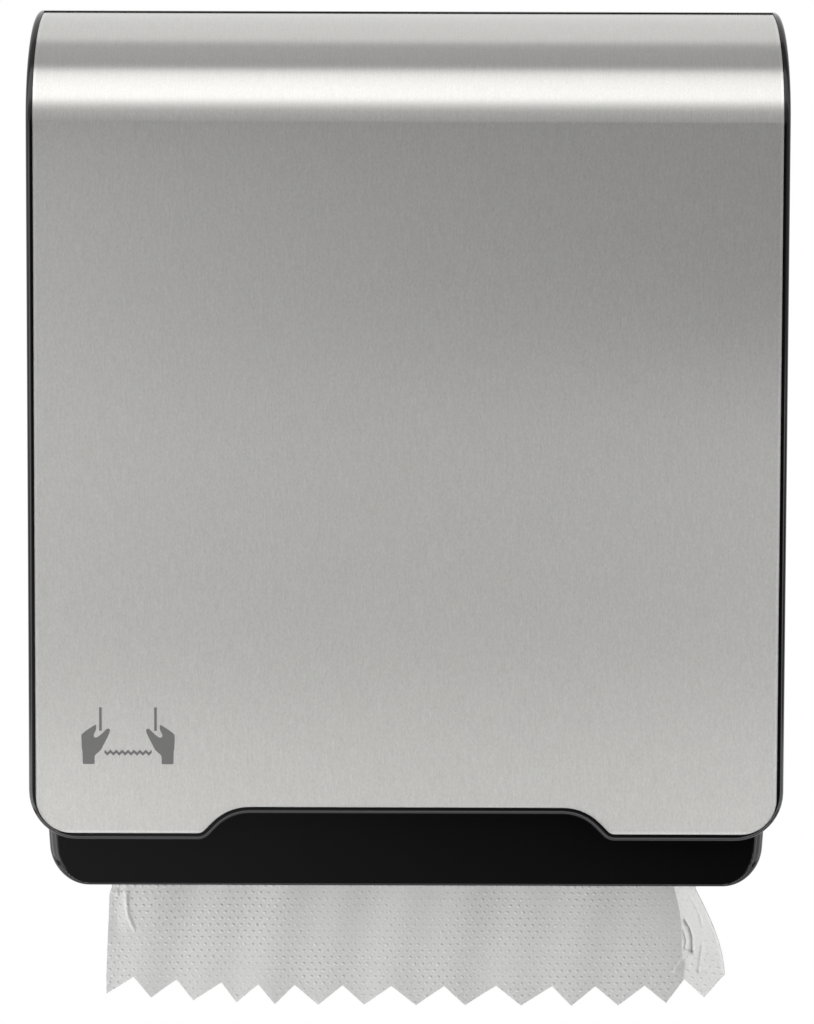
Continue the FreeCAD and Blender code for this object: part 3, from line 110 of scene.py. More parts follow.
def start_material(name, inputs):
    """A new material whose Principled shader has the given sockets set; returns all three parts."""
    material = bpy.data.materials.new(name)
    tree = empty_tree(material)
    shader = add(tree, "ShaderNodeBsdfPrincipled", inputs)
    add(tree, "ShaderNodeOutputMaterial", {"Surface": shader.outputs[0]})
    return material, tree, shader


# %% Steps that materials share
def soft_step(tree, value, low, high, first, last):
    """Runs from first to last as the value goes from low to high, with soft ends."""
    inputs = {0: value, 1: low, 2: high, 3: first, 4: last}
    return add(tree, "ShaderNodeMapRange", inputs, interpolation_type="SMOOTHSTEP").outputs[0]


def noise(tree, place, size, detail):
    """Noise between 0 and 1 whose largest features are about that size, in metres."""
    inputs = {"Vector": place, "Scale": 1 / size, "Detail": detail}
    return add(tree, "ShaderNodeTexNoise", inputs).outputs[0]


def tint_between(tree, shader, weight, low, high):
    """The base colour runs from low to high with the weight."""
    mix = add(tree, "ShaderNodeMix", {0: weight, 6: low, 7: high}, data_type="RGBA")
    tree.links.new(mix.outputs[2], shader.inputs["Base Color"])


def rough_between(tree, shader, weight, span, low, high):
    """The roughness runs from low to high as the weight crosses the span."""
    ends = {0: weight, 1: span[0], 2: span[1], 3: low, 4: high}
    rough = add(tree, "ShaderNodeMapRange", ends)
    tree.links.new(rough.outputs[0], shader.inputs["Roughness"])


# %% [markdown]
# ## The camera
#
# The photo is taken from straight ahead and a little above the middle of the cabinet, from about a
# metre, so that a sliver of the bent top shows and the lower edges curve hardly at all. The lens is
# worked out from how much larger the front looks than the parts behind it.

# %% Camera
MIDDLE = Vector((-0.0002, -0.2175, -0.0271))
DISTANCE = 1.084
LENS = 90.49
LOOK_DOWN = math.radians(3.22)
ROLL = math.radians(0.17)

camera = bpy.data.objects.new("camera", bpy.data.cameras.new("camera"))
camera.data.lens = LENS
camera.data.sensor_width = 36.0
camera.location = MIDDLE + DISTANCE * Vector((0.0, -math.cos(LOOK_DOWN), math.sin(LOOK_DOWN)))
camera.rotation_euler = (math.pi / 2 - LOOK_DOWN, -ROLL, 0.0)
bpy.context.scene.collection.objects.link(camera)
bpy.context.scene.camera = camera
bpy.context.scene.view_settings.view_transform = "Standard"
print("camera at", [round(part, 3) for part in camera.location])

# %% [markdown]
# ## The studio
#
# Brushed steel shows the room more than itself, so the light comes first. The bend at the top of the
# cabinet sweeps the reflection from the horizon up over the ceiling, and the photo reads there like a
# chart: mid grey at eye level, a bright soft box from 27 to 55 degrees up, and a dim ceiling behind
# it. One colour ramp over the angle above the horizon holds that chart, and the left side of the room
# is brighter than the right.
#
# The glossy black chin is a mirror for the part of the room behind the camera, and it is almost black,
# darker to the right. So that part of the room is dark: an oval round a direction a little to the
# right and below eye level.
#
# Matt surfaces get a plain light of their own, very weak from the front and stronger from the wall's
# side, because lamps light the towel. The camera sees plain white behind the object, and so do
# reflections of the wall's side.

# %% World light
LIGHT_BY_ANGLE = [
    (-180.0, 0.95),
    (-90.0, 0.50),
    (-30.0, 0.30),
    (-12.0, 0.32),
    (-6.0, 0.56),
    (-1.5, 0.88),
    (2.5, 0.51),
    (5.5, 0.61),
    (10.0, 0.61),
    (18.5, 0.50),
    (23.5, 0.95),
    (27.5, 1.79),
    (54.5, 1.67),
    (60.5, 0.46),
    (75.0, 0.54),
    (92.0, 0.42),
    (96.0, 0.76),
    (98.0, 0.60),
    (101.0, 0.98),
    (180.0, 0.95),
]
RAMP_TOP = 2.0
WHITE = (1.0, 1.0, 1.0, 1.0)
DARK_AZIMUTH = 6.0
DARK_ANGLE = -1.0
DARK_HALF_WIDTH = 32.0
DARK_HALF_HEIGHT = 16.0
DARK_SLOPE = -0.25
DARK_CORE = 0.50
DARK_LEFT_OVER = 0.03
SIDE_STEP = 40.0
LEFT_SIDE = 1.30
RIGHT_SIDE = 0.76
FRONT_SOFT = 0.02
BACK_SOFT = 0.80

world = bpy.data.worlds.new("studio")
bpy.context.scene.world = world
tree = empty_tree(world)
looking = add(tree, "ShaderNodeTexCoord").outputs["Generated"]
aim = add(tree, "ShaderNodeSeparateXYZ", {0: looking}).outputs
ahead = add(tree, "ShaderNodeMath", {0: aim["Y"], 1: -1.0}, operation="MULTIPLY")
upward = add(tree, "ShaderNodeMath", {0: aim["Z"], 1: ahead.outputs[0]}, operation="ARCTAN2")
azimuth = add(tree, "ShaderNodeMath", {0: aim["X"], 1: ahead.outputs[0]}, operation="ARCTAN2")
share = add(tree, "ShaderNodeMapRange", {0: upward.outputs[0], 1: -math.pi, 2: math.pi})
ramp = add(tree, "ShaderNodeValToRGB", {0: share.outputs[0]})
stops = ramp.color_ramp.elements
while len(stops) < len(LIGHT_BY_ANGLE):
    stops.new(0.5)
for stop, (degrees, light) in zip(stops, LIGHT_BY_ANGLE):
    stop.position = (degrees + 180.0) / 360.0
    stop.color = (light / RAMP_TOP, light / RAMP_TOP, light / RAMP_TOP, 1.0)
side_end = math.radians(DARK_AZIMUTH + DARK_HALF_WIDTH)
side_span = {0: azimuth.outputs[0], 1: math.radians(DARK_AZIMUTH), 2: side_end}
off_side = add(tree, "ShaderNodeMapRange", side_span, clamp=False)
up_end = math.radians(DARK_ANGLE + DARK_HALF_HEIGHT)
up_span = {0: upward.outputs[0], 1: math.radians(DARK_ANGLE), 2: up_end}
off_up = add(tree, "ShaderNodeMapRange", up_span, clamp=False)
tilt = {0: off_side.outputs[0], 1: -DARK_SLOPE * DARK_HALF_WIDTH / DARK_HALF_HEIGHT, 2: off_up.outputs[0]}
tilted = add(tree, "ShaderNodeMath", tilt, operation="MULTIPLY_ADD")
off = add(tree, "ShaderNodeCombineXYZ", {0: off_side.outputs[0], 1: tilted.outputs[0]})
off_middle = add(tree, "ShaderNodeVectorMath", {0: off.outputs[0]}, operation="LENGTH")
shade = soft_step(tree, off_middle.outputs["Value"], DARK_CORE, 1.0, DARK_LEFT_OVER, 1.0)
side_ends = (math.radians(-SIDE_STEP), math.radians(SIDE_STEP))
leftward = soft_step(tree, azimuth.outputs[0], *side_ends, LEFT_SIDE * RAMP_TOP, RIGHT_SIDE * RAMP_TOP)
room = add(tree, "ShaderNodeMath", {0: shade, 1: leftward}, operation="MULTIPLY")
mirror_room = add(tree, "ShaderNodeBackground", {"Color": ramp.outputs[0], "Strength": room.outputs[0]})
plain_light = soft_step(tree, aim["Y"], -1.0, 0.6, FRONT_SOFT, BACK_SOFT)
matt_room = add(tree, "ShaderNodeBackground", {"Color": WHITE, "Strength": plain_light})
paper_white = add(tree, "ShaderNodeBackground", {"Color": WHITE, "Strength": 1.0})
paths = add(tree, "ShaderNodeLightPath").outputs
rooms = {0: paths["Is Diffuse Ray"], 1: mirror_room.outputs[0], 2: matt_room.outputs[0]}
studio = add(tree, "ShaderNodeMixShader", rooms)
mirrored = add(tree, "ShaderNodeMath", {0: paths["Is Glossy Ray"], 1: paths["Is Transmission Ray"]})
behind = soft_step(tree, aim["Y"], -0.05, 0.10, 0.0, 1.0)
shown = add(tree, "ShaderNodeMath", {0: mirrored.outputs[0], 1: behind}, operation="MULTIPLY")
seen = add(tree, "ShaderNodeMath", {0: paths["Is Camera Ray"], 1: shown.outputs[0]}, operation="MAXIMUM")
sources = {0: seen.outputs[0], 1: studio.outputs[0], 2: paper_white.outputs[0]}
both = add(tree, "ShaderNodeMixShader", sources)
add(tree, "ShaderNodeOutputWorld", {"Surface": both.outputs[0]})
print("light stops:", len(LIGHT_BY_ANGLE))

# %% [markdown]
# Two soft boxes stand to the left and right of the camera. They draw the bright lines down the rounded
# edges of the rim. Two more stand low and close beside the cabinet, the left one brighter: they show as
# the broad pale bands on the chin's rounded sides. A small key light beside the left one picks out the
# towel's emboss and its folded margin, and is kept out of the reflections. A strip below the cabinet
# lights the towel from below. A soft box is an area lamp, and its power is the light that it should show
# times its area and pi.

# %% Soft boxes
def soft_box(name, centre, width, height, light):
    """An area lamp at the centre that faces the middle of the cabinet and shows that much light."""
    lamp = bpy.data.lights.new(name, "AREA")
    lamp.shape = "RECTANGLE"
    lamp.size = width
    lamp.size_y = height
    lamp.energy = light * math.pi * width * height
    piece = bpy.data.objects.new(name, lamp)
    piece.location = centre
    toward = MIDDLE - Vector(centre)
    piece.rotation_euler = toward.to_track_quat("-Z", "Y").to_euler()
    bpy.context.scene.collection.objects.link(piece)
    return piece


soft_box("soft box left", (-0.82, -1.02, -0.203), 0.50, 0.885, 1.65)
soft_box("soft box right", (0.82, -1.02, -0.305), 0.50, 0.69, 1.65)
soft_box("low strip", (0.0, -0.64, -0.56), 1.40, 0.16, 2.1)
soft_box("side box left", (-1.02, -0.45, -0.42), 1.20, 0.34, 2.6)
soft_box("side box right", (1.02, -0.45, -0.42), 1.20, 0.34, 1.6)
key = soft_box("key", (-1.11, -0.45, -0.22), 0.20, 0.20, 54.0)
key.visible_glossy = False
print("soft boxes:", len(bpy.data.lights))

# %% [markdown]
# The floor lies well below the cabinet, which hangs on a wall. It is matt and pale. Seen directly or in
# a reflection it gets a little extra white, so that it runs into the white background and only the
# shadow shows.

# %% Floor
FLOOR_HEIGHT = -0.60
FLOOR_HALF = 0.8
FLOOR_GLOW = 0.45

corner_ways = [(-1, -1), (1, -1), (1, 1), (-1, 1)]
floor_corners = [(FLOOR_HALF * x, FLOOR_HALF * y, FLOOR_HEIGHT) for x, y in corner_ways]
floor_mesh = bpy.data.meshes.new("floor")
floor_mesh.from_pydata(floor_corners, [], [(0, 1, 2, 3)])
floor = bpy.data.objects.new("floor", floor_mesh)
bpy.context.scene.collection.objects.link(floor)
floor_paint = bpy.data.materials.new("pale matt floor paint")
tree = empty_tree(floor_paint)
paint = add(tree, "ShaderNodeBsdfDiffuse", {"Color": colour("#ECECEC")})
paths = add(tree, "ShaderNodeLightPath").outputs
mirrored = add(tree, "ShaderNodeMath", {0: paths["Is Glossy Ray"], 1: paths["Is Transmission Ray"]})
seen = add(tree, "ShaderNodeMath", {0: paths["Is Camera Ray"], 1: mirrored.outputs[0]}, operation="MAXIMUM")
lift = add(tree, "ShaderNodeMath", {0: seen.outputs[0], 1: FLOOR_GLOW}, operation="MULTIPLY")
glow = add(tree, "ShaderNodeEmission", {"Strength": lift.outputs[0]})
summed = add(tree, "ShaderNodeAddShader", {0: paint.outputs[0], 1: glow.outputs[0]})
add(tree, "ShaderNodeOutputMaterial", {"Surface": summed.outputs[0]})
floor.data.materials.append(floor_paint)
print("floor at", FLOOR_HEIGHT)

# %% [markdown]
# ## Brushed steel
#
# The panel is stainless steel, brushed up and down with an abrasive belt. The fine scratches spread a
# reflection sideways and hardly at all along the grain, which is what anisotropic roughness does. The
# tangent goes round the X axis, so it follows the panel up its front and over the bend, and a quarter
# turn sets the wide side of the highlight across the grain. The grain itself is about 0.1 mm wide,
# too fine for the picture, so it is drawn 0.45 mm wide. Along the sides and the lower edge of the sheet
# a thin band is painted lighter: a painted highlight for the light that the cut edges catch.

# %% Brushed steel material
GRAIN_WIDTH = 0.00045
GRAIN_LENGTH = 0.0010
GRAIN_HEIGHT = 0.00005
SCRATCH_LENGTH = 0.008
SCRATCH_SHARE = 0.4
TONE_LOW, TONE_HIGH = 0.51, 0.73
ROUGH_LOW, ROUGH_HIGH = 0.32, 0.37
WARM = (1.0, 0.992, 0.965)
EDGE = 0.0016
EDGE_HIGHLIGHT_TONE = 1.16

brushed_steel, tree, shader = start_material(
    "brushed stainless steel",
    {"Metallic": 1.0, "Anisotropic": 1.0, "Anisotropic Rotation": 0.25},
)
place = add(tree, "ShaderNodeTexCoord").outputs["Object"]
grain_scale = (1 / GRAIN_WIDTH, 1 / GRAIN_LENGTH, 1 / GRAIN_LENGTH)
stretched = add(tree, "ShaderNodeMapping", {"Vector": place, "Scale": grain_scale})
grain = noise(tree, stretched.outputs[0], 1.0, 3.0)
scratch_scale = (1 / GRAIN_WIDTH, 1 / SCRATCH_LENGTH, 1 / SCRATCH_LENGTH)
drawn_out = add(tree, "ShaderNodeMapping", {"Vector": place, "Scale": scratch_scale})
scratches = noise(tree, drawn_out.outputs[0], 1.0, 1.0)
weights = {0: scratches, 1: SCRATCH_SHARE, 2: grain}
mixed = add(tree, "ShaderNodeMath", weights, operation="MULTIPLY_ADD")
tone_ends = {0: mixed.outputs[0], 1: 0.2, 2: 1.2, 3: TONE_LOW, 4: TONE_HIGH}
tone = add(tree, "ShaderNodeMapRange", tone_ends)
where = add(tree, "ShaderNodeSeparateXYZ", {0: place})
to_side = add(tree, "ShaderNodeMath", {0: where.outputs["X"]}, operation="ABSOLUTE")
steel_low, steel_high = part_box("steel_panel")
# The sides and the lower edge of the panel get a lighter base colour here: a painted highlight along the
# cut edges.
side_edge = soft_step(tree, to_side.outputs[0], steel_high.x - EDGE, steel_high.x - 0.4 * EDGE, 0.0, 1.0)
low_edge = soft_step(tree, where.outputs["Z"], steel_low.z + 0.4 * EDGE, steel_low.z + EDGE, 1.0, 0.0)
painted_edge_highlight = add(tree, "ShaderNodeMath", {0: side_edge, 1: low_edge}, operation="MAXIMUM")
bright = add(tree, "ShaderNodeMapRange", {0: painted_edge_highlight.outputs[0], 3: 1.0, 4: EDGE_HIGHLIGHT_TONE})
grey = add(tree, "ShaderNodeMath", {0: tone.outputs[0], 1: bright.outputs[0]}, operation="MULTIPLY")
tint = add(tree, "ShaderNodeVectorMath", {0: WARM, "Scale": grey.outputs[0]}, operation="SCALE")
tree.links.new(tint.outputs[0], shader.inputs["Base Color"])
rough_between(tree, shader, grain, (0.2, 0.8), ROUGH_LOW, ROUGH_HIGH)
bump = add(tree, "ShaderNodeBump", {"Strength": 0.06, "Distance": GRAIN_HEIGHT, "Height": grain})
tree.links.new(bump.outputs[0], shader.inputs["Normal"])
way_round = add(tree, "ShaderNodeTangent", direction_type="RADIAL", axis="X")
tree.links.new(way_round.outputs[0], shader.inputs["Tangent"])
print("steel ready")

# %% [markdown]
# ## Plastics and rubber
#
# The cover and the chin are glossy black ABS from a polished mould. The colour is near black, so almost
# all that shows is the reflection in the surface, and very slight waves keep that reflection from
# looking like a mirror's. The pieces inside are satin mouldings in a few plain colours.

# %% Plastic and rubber materials
WAVE_LENGTH = 0.05
WAVE_HEIGHT = 0.002
MOST_NOISE = (0.3, 0.7)


def moulded_plastic(name, code, roughness, grit, grit_height, waves=0.0, ior=1.5):
    """Moulded plastic: one colour, a grit of fine bumps of that size in metres, and broad soft waves."""
    material, tree, shader = start_material(name, {"Base Color": colour(code), "IOR": ior})
    place = add(tree, "ShaderNodeTexCoord").outputs["Object"]
    fine = noise(tree, place, grit, 2.0)
    slow = noise(tree, place, WAVE_LENGTH, 1.0)
    rough_between(tree, shader, slow, MOST_NOISE, 0.9 * roughness, 1.1 * roughness)
    inner = add(tree, "ShaderNodeBump", {"Strength": waves, "Distance": WAVE_HEIGHT, "Height": slow})
    grains = {"Strength": 0.5, "Distance": grit_height, "Height": fine, "Normal": inner.outputs[0]}
    bump = add(tree, "ShaderNodeBump", grains)
    tree.links.new(bump.outputs[0], shader.inputs["Normal"])
    return material


finishes = {
    "brushed_steel": brushed_steel,
    "black_plastic": moulded_plastic("polished black ABS", "#060607", 0.12, 0.0006, 0.00001, 0.02),
    "housing_plastic": moulded_plastic("satin black ABS", "#101011", 0.38, 0.0006, 0.00004),
    "grey_plastic": moulded_plastic("satin grey acetal", "#6F7275", 0.35, 0.0008, 0.00003),
    "light_plastic": moulded_plastic("natural white acetal", "#D9D8D2", 0.32, 0.0008, 0.00002),
    "green_plastic": moulded_plastic("green moulded polypropylene", "#1E7A4A", 0.34, 0.0008, 0.00003),
    "black_rubber": moulded_plastic("black nitrile rubber", "#161616", 0.62, 0.0005, 0.00006),
}
chin_finish = moulded_plastic("mirror polished black ABS", "#050506", 0.10, 0.0006, 0.000006, 0.02, 1.40)
print("plastics:", len(finishes))

# %% [markdown]
# ## Metals inside
#
# Frames and brackets are mild steel plated with zinc, which leaves faint grey flakes. Screws, axle and
# blade are bright steel, the lock is a die casting, and the springs are drawn wire.

# %% Metal materials
def plain_metal(name, code, roughness, flake, contrast):
    """Bare or plated metal: a colour that varies in flakes of that size, in metres, by that share."""
    material, tree, shader = start_material(name, {"Metallic": 1.0})
    place = add(tree, "ShaderNodeTexCoord").outputs["Object"]
    flakes = add(tree, "ShaderNodeTexVoronoi", {"Vector": place, "Scale": 1 / flake})
    cloudy = noise(tree, place, 4 * flake, 3.0)
    middle = np.array(colour(code)[:3])
    low = (*(middle * (1 - contrast)).tolist(), 1.0)
    high = (*np.minimum(middle * (1 + contrast), 1.0).tolist(), 1.0)
    weight = add(tree, "ShaderNodeSeparateColor", {0: flakes.outputs["Color"]})
    tint_between(tree, shader, weight.outputs[0], low, high)
    rough_between(tree, shader, cloudy, MOST_NOISE, 0.8 * roughness, 1.2 * roughness)
    return material


finishes["plated_steel"] = plain_metal("zinc plated mild steel", "#B9BCBF", 0.34, 0.004, 0.06)
finishes["bright_steel"] = plain_metal("ground bright steel", "#C9C9C6", 0.22, 0.001, 0.02)
finishes["zinc_casting"] = plain_metal("nickel plated zinc casting", "#BDB9B2", 0.26, 0.0015, 0.03)
finishes["spring_steel"] = plain_metal("drawn spring wire", "#A6A6A3", 0.28, 0.0006, 0.05)
print("finishes so far:", len(finishes))

# %% [markdown]
# ## Paper and cardboard
#
# Towel paper is soft and matt, with a little sheen from loose fibres. The emboss is a stagger of small
# oval bumps, 3.3 mm apart along a row and 2.85 mm from row to row, pressed in between two rollers and
# flattened again here and there where the towel was handled. The pattern follows the sheet, so it is
# laid out in the sheet's own UV map, which is in metres.

# %% Towel paper material
DOT_ACROSS = 0.0033
DOT_DOWN = 0.00285
DOT_SHARPNESS = 5.0
EMBOSS_HEIGHT = 0.00023
HANDLED_PATCH = 0.035
FIBRE = 0.0009
FIBRE_HEIGHT = 0.00020

towel_paper, tree, shader = start_material(
    "embossed towel paper",
    {"Roughness": 0.85, "Sheen Weight": 0.15, "Sheen Roughness": 0.6, "Specular IOR Level": 0.25},
)
sheet_place = add(tree, "ShaderNodeUVMap", uv_map="sheet").outputs[0]
sheet_parts = add(tree, "ShaderNodeSeparateXYZ", {0: sheet_place})


def cosine(tree, value, spacing):
    """The cosine that comes round once in every spacing metres."""
    turns = add(tree, "ShaderNodeMath", {0: value, 1: 2 * math.pi / spacing}, operation="MULTIPLY")
    return add(tree, "ShaderNodeMath", {0: turns.outputs[0]}, operation="COSINE").outputs[0]


wave_across = cosine(tree, sheet_parts.outputs["X"], DOT_ACROSS)
wave_down = cosine(tree, sheet_parts.outputs["Y"], 2 * DOT_DOWN)
narrow = add(tree, "ShaderNodeMath", {0: wave_down, 1: DOT_SHARPNESS}, operation="POWER")
egg_box = add(tree, "ShaderNodeMath", {0: wave_across, 1: narrow.outputs[0]}, operation="MULTIPLY")
dots = soft_step(tree, egg_box.outputs[0], 0.05, 0.95, 0.0, 1.0)
handled = noise(tree, sheet_place, HANDLED_PATCH, 2.0)
left_over = soft_step(tree, handled, 0.36, 0.62, 0.35, 1.0)
relief = add(tree, "ShaderNodeMath", {0: dots, 1: left_over}, operation="MULTIPLY").outputs[0]
fibres = noise(tree, sheet_place, FIBRE, 3.0)
fibre_bump = add(tree, "ShaderNodeBump", {"Strength": 0.6, "Distance": FIBRE_HEIGHT, "Height": fibres})
pressed = {"Distance": EMBOSS_HEIGHT, "Height": relief, "Normal": fibre_bump.outputs[0]}
emboss = add(tree, "ShaderNodeBump", {"Strength": 1.0, **pressed})
tree.links.new(emboss.outputs[0], shader.inputs["Normal"])
fleck = add(tree, "ShaderNodeMapRange", {0: fibres, 1: MOST_NOISE[0], 2: MOST_NOISE[1]})
tint_between(tree, shader, fleck.outputs[0], colour("#C6C6C5"), colour("#D2D2D1"))
finishes["towel_paper"] = towel_paper

# %% Cardboard material
cardboard, tree, shader = start_material("grey spiral wound cardboard", {"Roughness": 0.8})
place = add(tree, "ShaderNodeTexCoord").outputs["Object"]
pulp = noise(tree, place, 0.002, 4.0)
tint_between(tree, shader, pulp, colour("#8F8064"), colour("#B3A383"))
finishes["cardboard"] = cardboard

# %% Give every solid its finish
for entry in frame["record"]["subparts"]:
    slots = nodes[entry["node"]].data.materials
    finish = finishes[entry["material_slot"]]
    if len(slots) == 0:
        slots.append(finish)
    for number in range(len(slots)):
        slots[number] = finish
nodes["chin_shroud"].data.materials[0] = chin_finish

# %% [markdown]
# ## Surfaces from numbers
#
# The towel, the roll and the springs are each a grid of points worked out as one array: rows run one way
# over the surface and columns the other. The first helper makes a mesh from such points and stores a UV
# map in metres, so that the emboss keeps its size. The second joins neighbours of the grid to faces.
# The third gives a grid a thickness, as a sheet of paper has, and joins the two sides round the rim.

# %% Mesh from arrays
def make_piece(name, points, faces, uv_points, finish, body=None):
    """A mesh piece from (n, 3) points, (m, 4) faces and (n, 2) UV places, on the body if one is named."""
    mesh = bpy.data.meshes.new(name)
    mesh.from_pydata(points.tolist(), [], faces.tolist())
    layer = mesh.uv_layers.new(name="sheet")
    layer.uv.foreach_set("vector", uv_points[faces.ravel()].astype(np.float32).ravel())
    mesh.polygons.foreach_set("use_smooth", np.ones(len(faces), dtype=bool))
    mesh.set_sharp_from_angle(angle=math.radians(50.0))
    mesh.materials.append(finish)
    piece = bpy.data.objects.new(name, mesh)
    bpy.context.scene.collection.objects.link(piece)
    if body:
        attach(piece, body)
    print(name, "has", len(points), "points")
    return piece


def grid_faces(rows, columns, close_rows=False):
    """Four-cornered faces between neighbours of a grid; close_rows joins the last row to the first."""
    number = np.arange(rows * columns).reshape(rows, columns)
    if close_rows:
        number = np.vstack([number, number[:1]])
    corners = (number[:-1, :-1], number[:-1, 1:], number[1:, 1:], number[1:, :-1])
    return np.stack([corner.ravel() for corner in corners], axis=1)


def two_sided(points, thickness):
    """Front and back of a sheet: each point moves half the thickness along the surface's normal.

    The normal is the cross product of the steps to the next column and to the next row."""
    right = np.gradient(points, axis=1)
    onward = np.gradient(points, axis=0)
    normal = np.cross(right, onward)
    normal /= np.linalg.norm(normal, axis=2, keepdims=True)
    rows, columns = points.shape[:2]
    front = (points - normal * thickness / 2).reshape(-1, 3)
    back = (points + normal * thickness / 2).reshape(-1, 3)
    count = rows * columns
    number = np.arange(count).reshape(rows, columns)
    rim = np.concatenate([number[0], number[1:, -1], number[-1, -2::-1], number[-2:0:-1, 0]])
    following = np.roll(rim, -1)
    walls = np.stack([rim, rim + count, following + count, following], axis=1)
    faces = grid_faces(rows, columns)
    return np.vstack([front, back]), np.vstack([faces[:, ::-1], faces + count, walls])


# %% [markdown]
# ## The towel
#
# The towel leaves the front of the roll, passes behind the drum with the knife, turns forward under it
# and hangs out of the slot in the chin. It is one sheet from end to end, so it is one grid: each row
# is a place along that path and each column a place across the towel. Its UV map holds the place
# across, counted from 140 mm left of the middle, and the length along the path.
#
# Below the roll the path is three straight runs joined by two arcs. The run from the roll to the drum
# touches both circles and passes between them, which is a right triangle with the two radii added as
# one side. Above that run the sheet lies against the roll for a short way and thins out there, so that
# the place where the roll's surface becomes the sheet doesn't show as a step.

# %% The towel's path
PAPER = 0.0003
AIR = 0.0005
TAIL_FACE = -0.184
EXIT_SLOPE = math.radians(22.0)
BEND = 0.006
TOWEL_END = -0.2457
LAP = math.radians(14.0)
LAP_ROWS = 12
LAP_GAP = 0.0001


def middle_and_radius(node):
    """The middle in (Y, Z) and the radius of a round CAD node that turns about an X line."""
    low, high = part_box(node)
    middle = np.array([(low.y + high.y) / 2, (low.z + high.z) / 2])
    return middle, (high.y - low.y) / 2


def run(start, end, count):
    """Points on a straight run, without its last point."""
    part = np.linspace(0.0, 1.0, count, endpoint=False)[:, None]
    return start + (end - start) * part


def arc(middle, radius, first, last, count):
    """Points on an arc from the first to the last angle in radians, without its last point."""
    turn = np.linspace(first, last, count, endpoint=False)
    return middle + radius * np.stack([np.cos(turn), np.sin(turn)], axis=1)


roll_middle, roll_radius = middle_and_radius("paper_roll")
drum_middle, drum_radius = middle_and_radius("drum_end_right")
roll_line = roll_radius + AIR + PAPER / 2
drum_line = drum_radius + AIR + PAPER / 2
apart = drum_middle - roll_middle
lean = math.acos((roll_line + drum_line) / np.linalg.norm(apart))
touch = math.atan2(apart[1], apart[0]) - lean
touch_way = np.array([math.cos(touch), math.sin(touch)])
off_roll = roll_middle + touch_way * roll_line
on_drum = drum_middle - touch_way * drum_line
leave = EXIT_SLOPE - math.pi / 2
off_drum = drum_middle + drum_line * np.array([math.cos(leave), math.sin(leave)])
forward = -np.array([math.cos(EXIT_SLOPE), math.sin(EXIT_SLOPE)])
corner = off_drum + forward * (off_drum[0] - TAIL_FACE) / math.cos(EXIT_SLOPE)
set_back = BEND * math.tan((math.pi / 2 - EXIT_SLOPE) / 2)
bend_middle = np.array([TAIL_FACE + BEND, corner[1] - set_back])
lap_part = np.linspace(0.0, 1.0, LAP_ROWS, endpoint=False)[:, None]
lap_line = roll_radius + LAP_GAP + (roll_line - roll_radius - LAP_GAP) * lap_part**2
path = np.vstack(
    [
        arc(roll_middle, lap_line, touch - LAP, touch, LAP_ROWS),
        run(off_roll, on_drum, 12),
        arc(drum_middle, drum_line, touch + math.pi, leave, 24),
        run(off_drum, corner - forward * set_back, 6),
        arc(bend_middle, BEND, math.pi / 2 + EXIT_SLOPE, math.pi, 8),
        run(np.array([TAIL_FACE, bend_middle[1]]), np.array([TAIL_FACE, TOWEL_END]), 100),
        [[TAIL_FACE, TOWEL_END]],
    ]
)
steps = np.linalg.norm(np.diff(path, axis=0), axis=1)
along = np.concatenate([[0.0], np.cumsum(steps)])
print("towel from roll to end, in mm:", round(1000 * along[-1]))

# %% [markdown]
# The knife cut the lower edge to points about 20 mm apart. The towel has crept and twisted since, so
# the points are not quite even, and the row rises towards both corners. The edge is a list of tips in
# millimetres, with a notch between each two. The last notch, tip and corner are on the folded margin
# and have heights of their own. Columns are spread between them, so that each tip and notch stays
# sharp, and stand closer near both margins, for the creases. Only the last 25 mm of the rows bend to
# follow the edge.

# %% The cut edge
TIPS = [-131.2, -111.6, -93.1, -74.2, -57.3, -38.3, -18.2, 4.6, 26.1, 50.7, 72.7, 93.3, 114.4, 131.3, 140.1]
NOTCHES = [-119.3, -100.6, -80.8, -64.6, -48.8, -27.7, -6.3, 16.9, 39.7, 64.3, 83.2, 104.8, 122.4]
LEFT_SIDE_X = -0.1312
FOLD_X = 0.1221
RIGHT_SIDE_X = 0.1401
TIP_DEPTH = -0.2457
TOOTH = 0.0086
LEFT_RISE, LEFT_FROM, LEFT_SPAN = 0.0047, -0.029, 0.102
RIGHT_RISE, RIGHT_FROM, RIGHT_SPAN = 0.0040, 0.096, 0.035
MARGIN_EDGE = (-0.2341, -0.2412, -0.2298)
FOLLOW = 0.025
STEPS_BETWEEN = 8

edge_x = np.sort(np.array(TIPS + NOTCHES)) / 1000
is_notch = np.isin(np.round(edge_x * 1000, 1), NOTCHES)
rise = LEFT_RISE * np.clip((LEFT_FROM - edge_x) / LEFT_SPAN, 0, 1) ** 2
rise += RIGHT_RISE * np.clip((edge_x - RIGHT_FROM) / RIGHT_SPAN, 0, 1) ** 2
edge_z = TIP_DEPTH + rise + np.where(is_notch, TOOTH, 0.0)
edge_z[-3:] = MARGIN_EDGE
spread = [np.linspace(left, right, STEPS_BETWEEN)[:-1] for left, right in zip(edge_x, edge_x[1:])]
fine_right = np.linspace(0.1165, RIGHT_SIDE_X, 60)
fine_left = np.linspace(-0.1275, -0.1160, 26)
column_x = np.unique(np.concatenate([*spread, edge_x[-1:], fine_right, fine_left]))
column_end = np.interp(column_x, edge_x, edge_z)
print("columns:", len(column_x), "rows:", len(path))

# %% [markdown]
# The hanging part is not flat. Broad waves run down it, a crease crosses its left corner, and its
# right margin is folded back along a line, steeply at the slot and less further down. Each of these
# is a height towards the viewer added to the flat sheet, and each fades in below the bend. The
# columns also move sideways row by row, so that the folded margin looks narrow where it is steep.

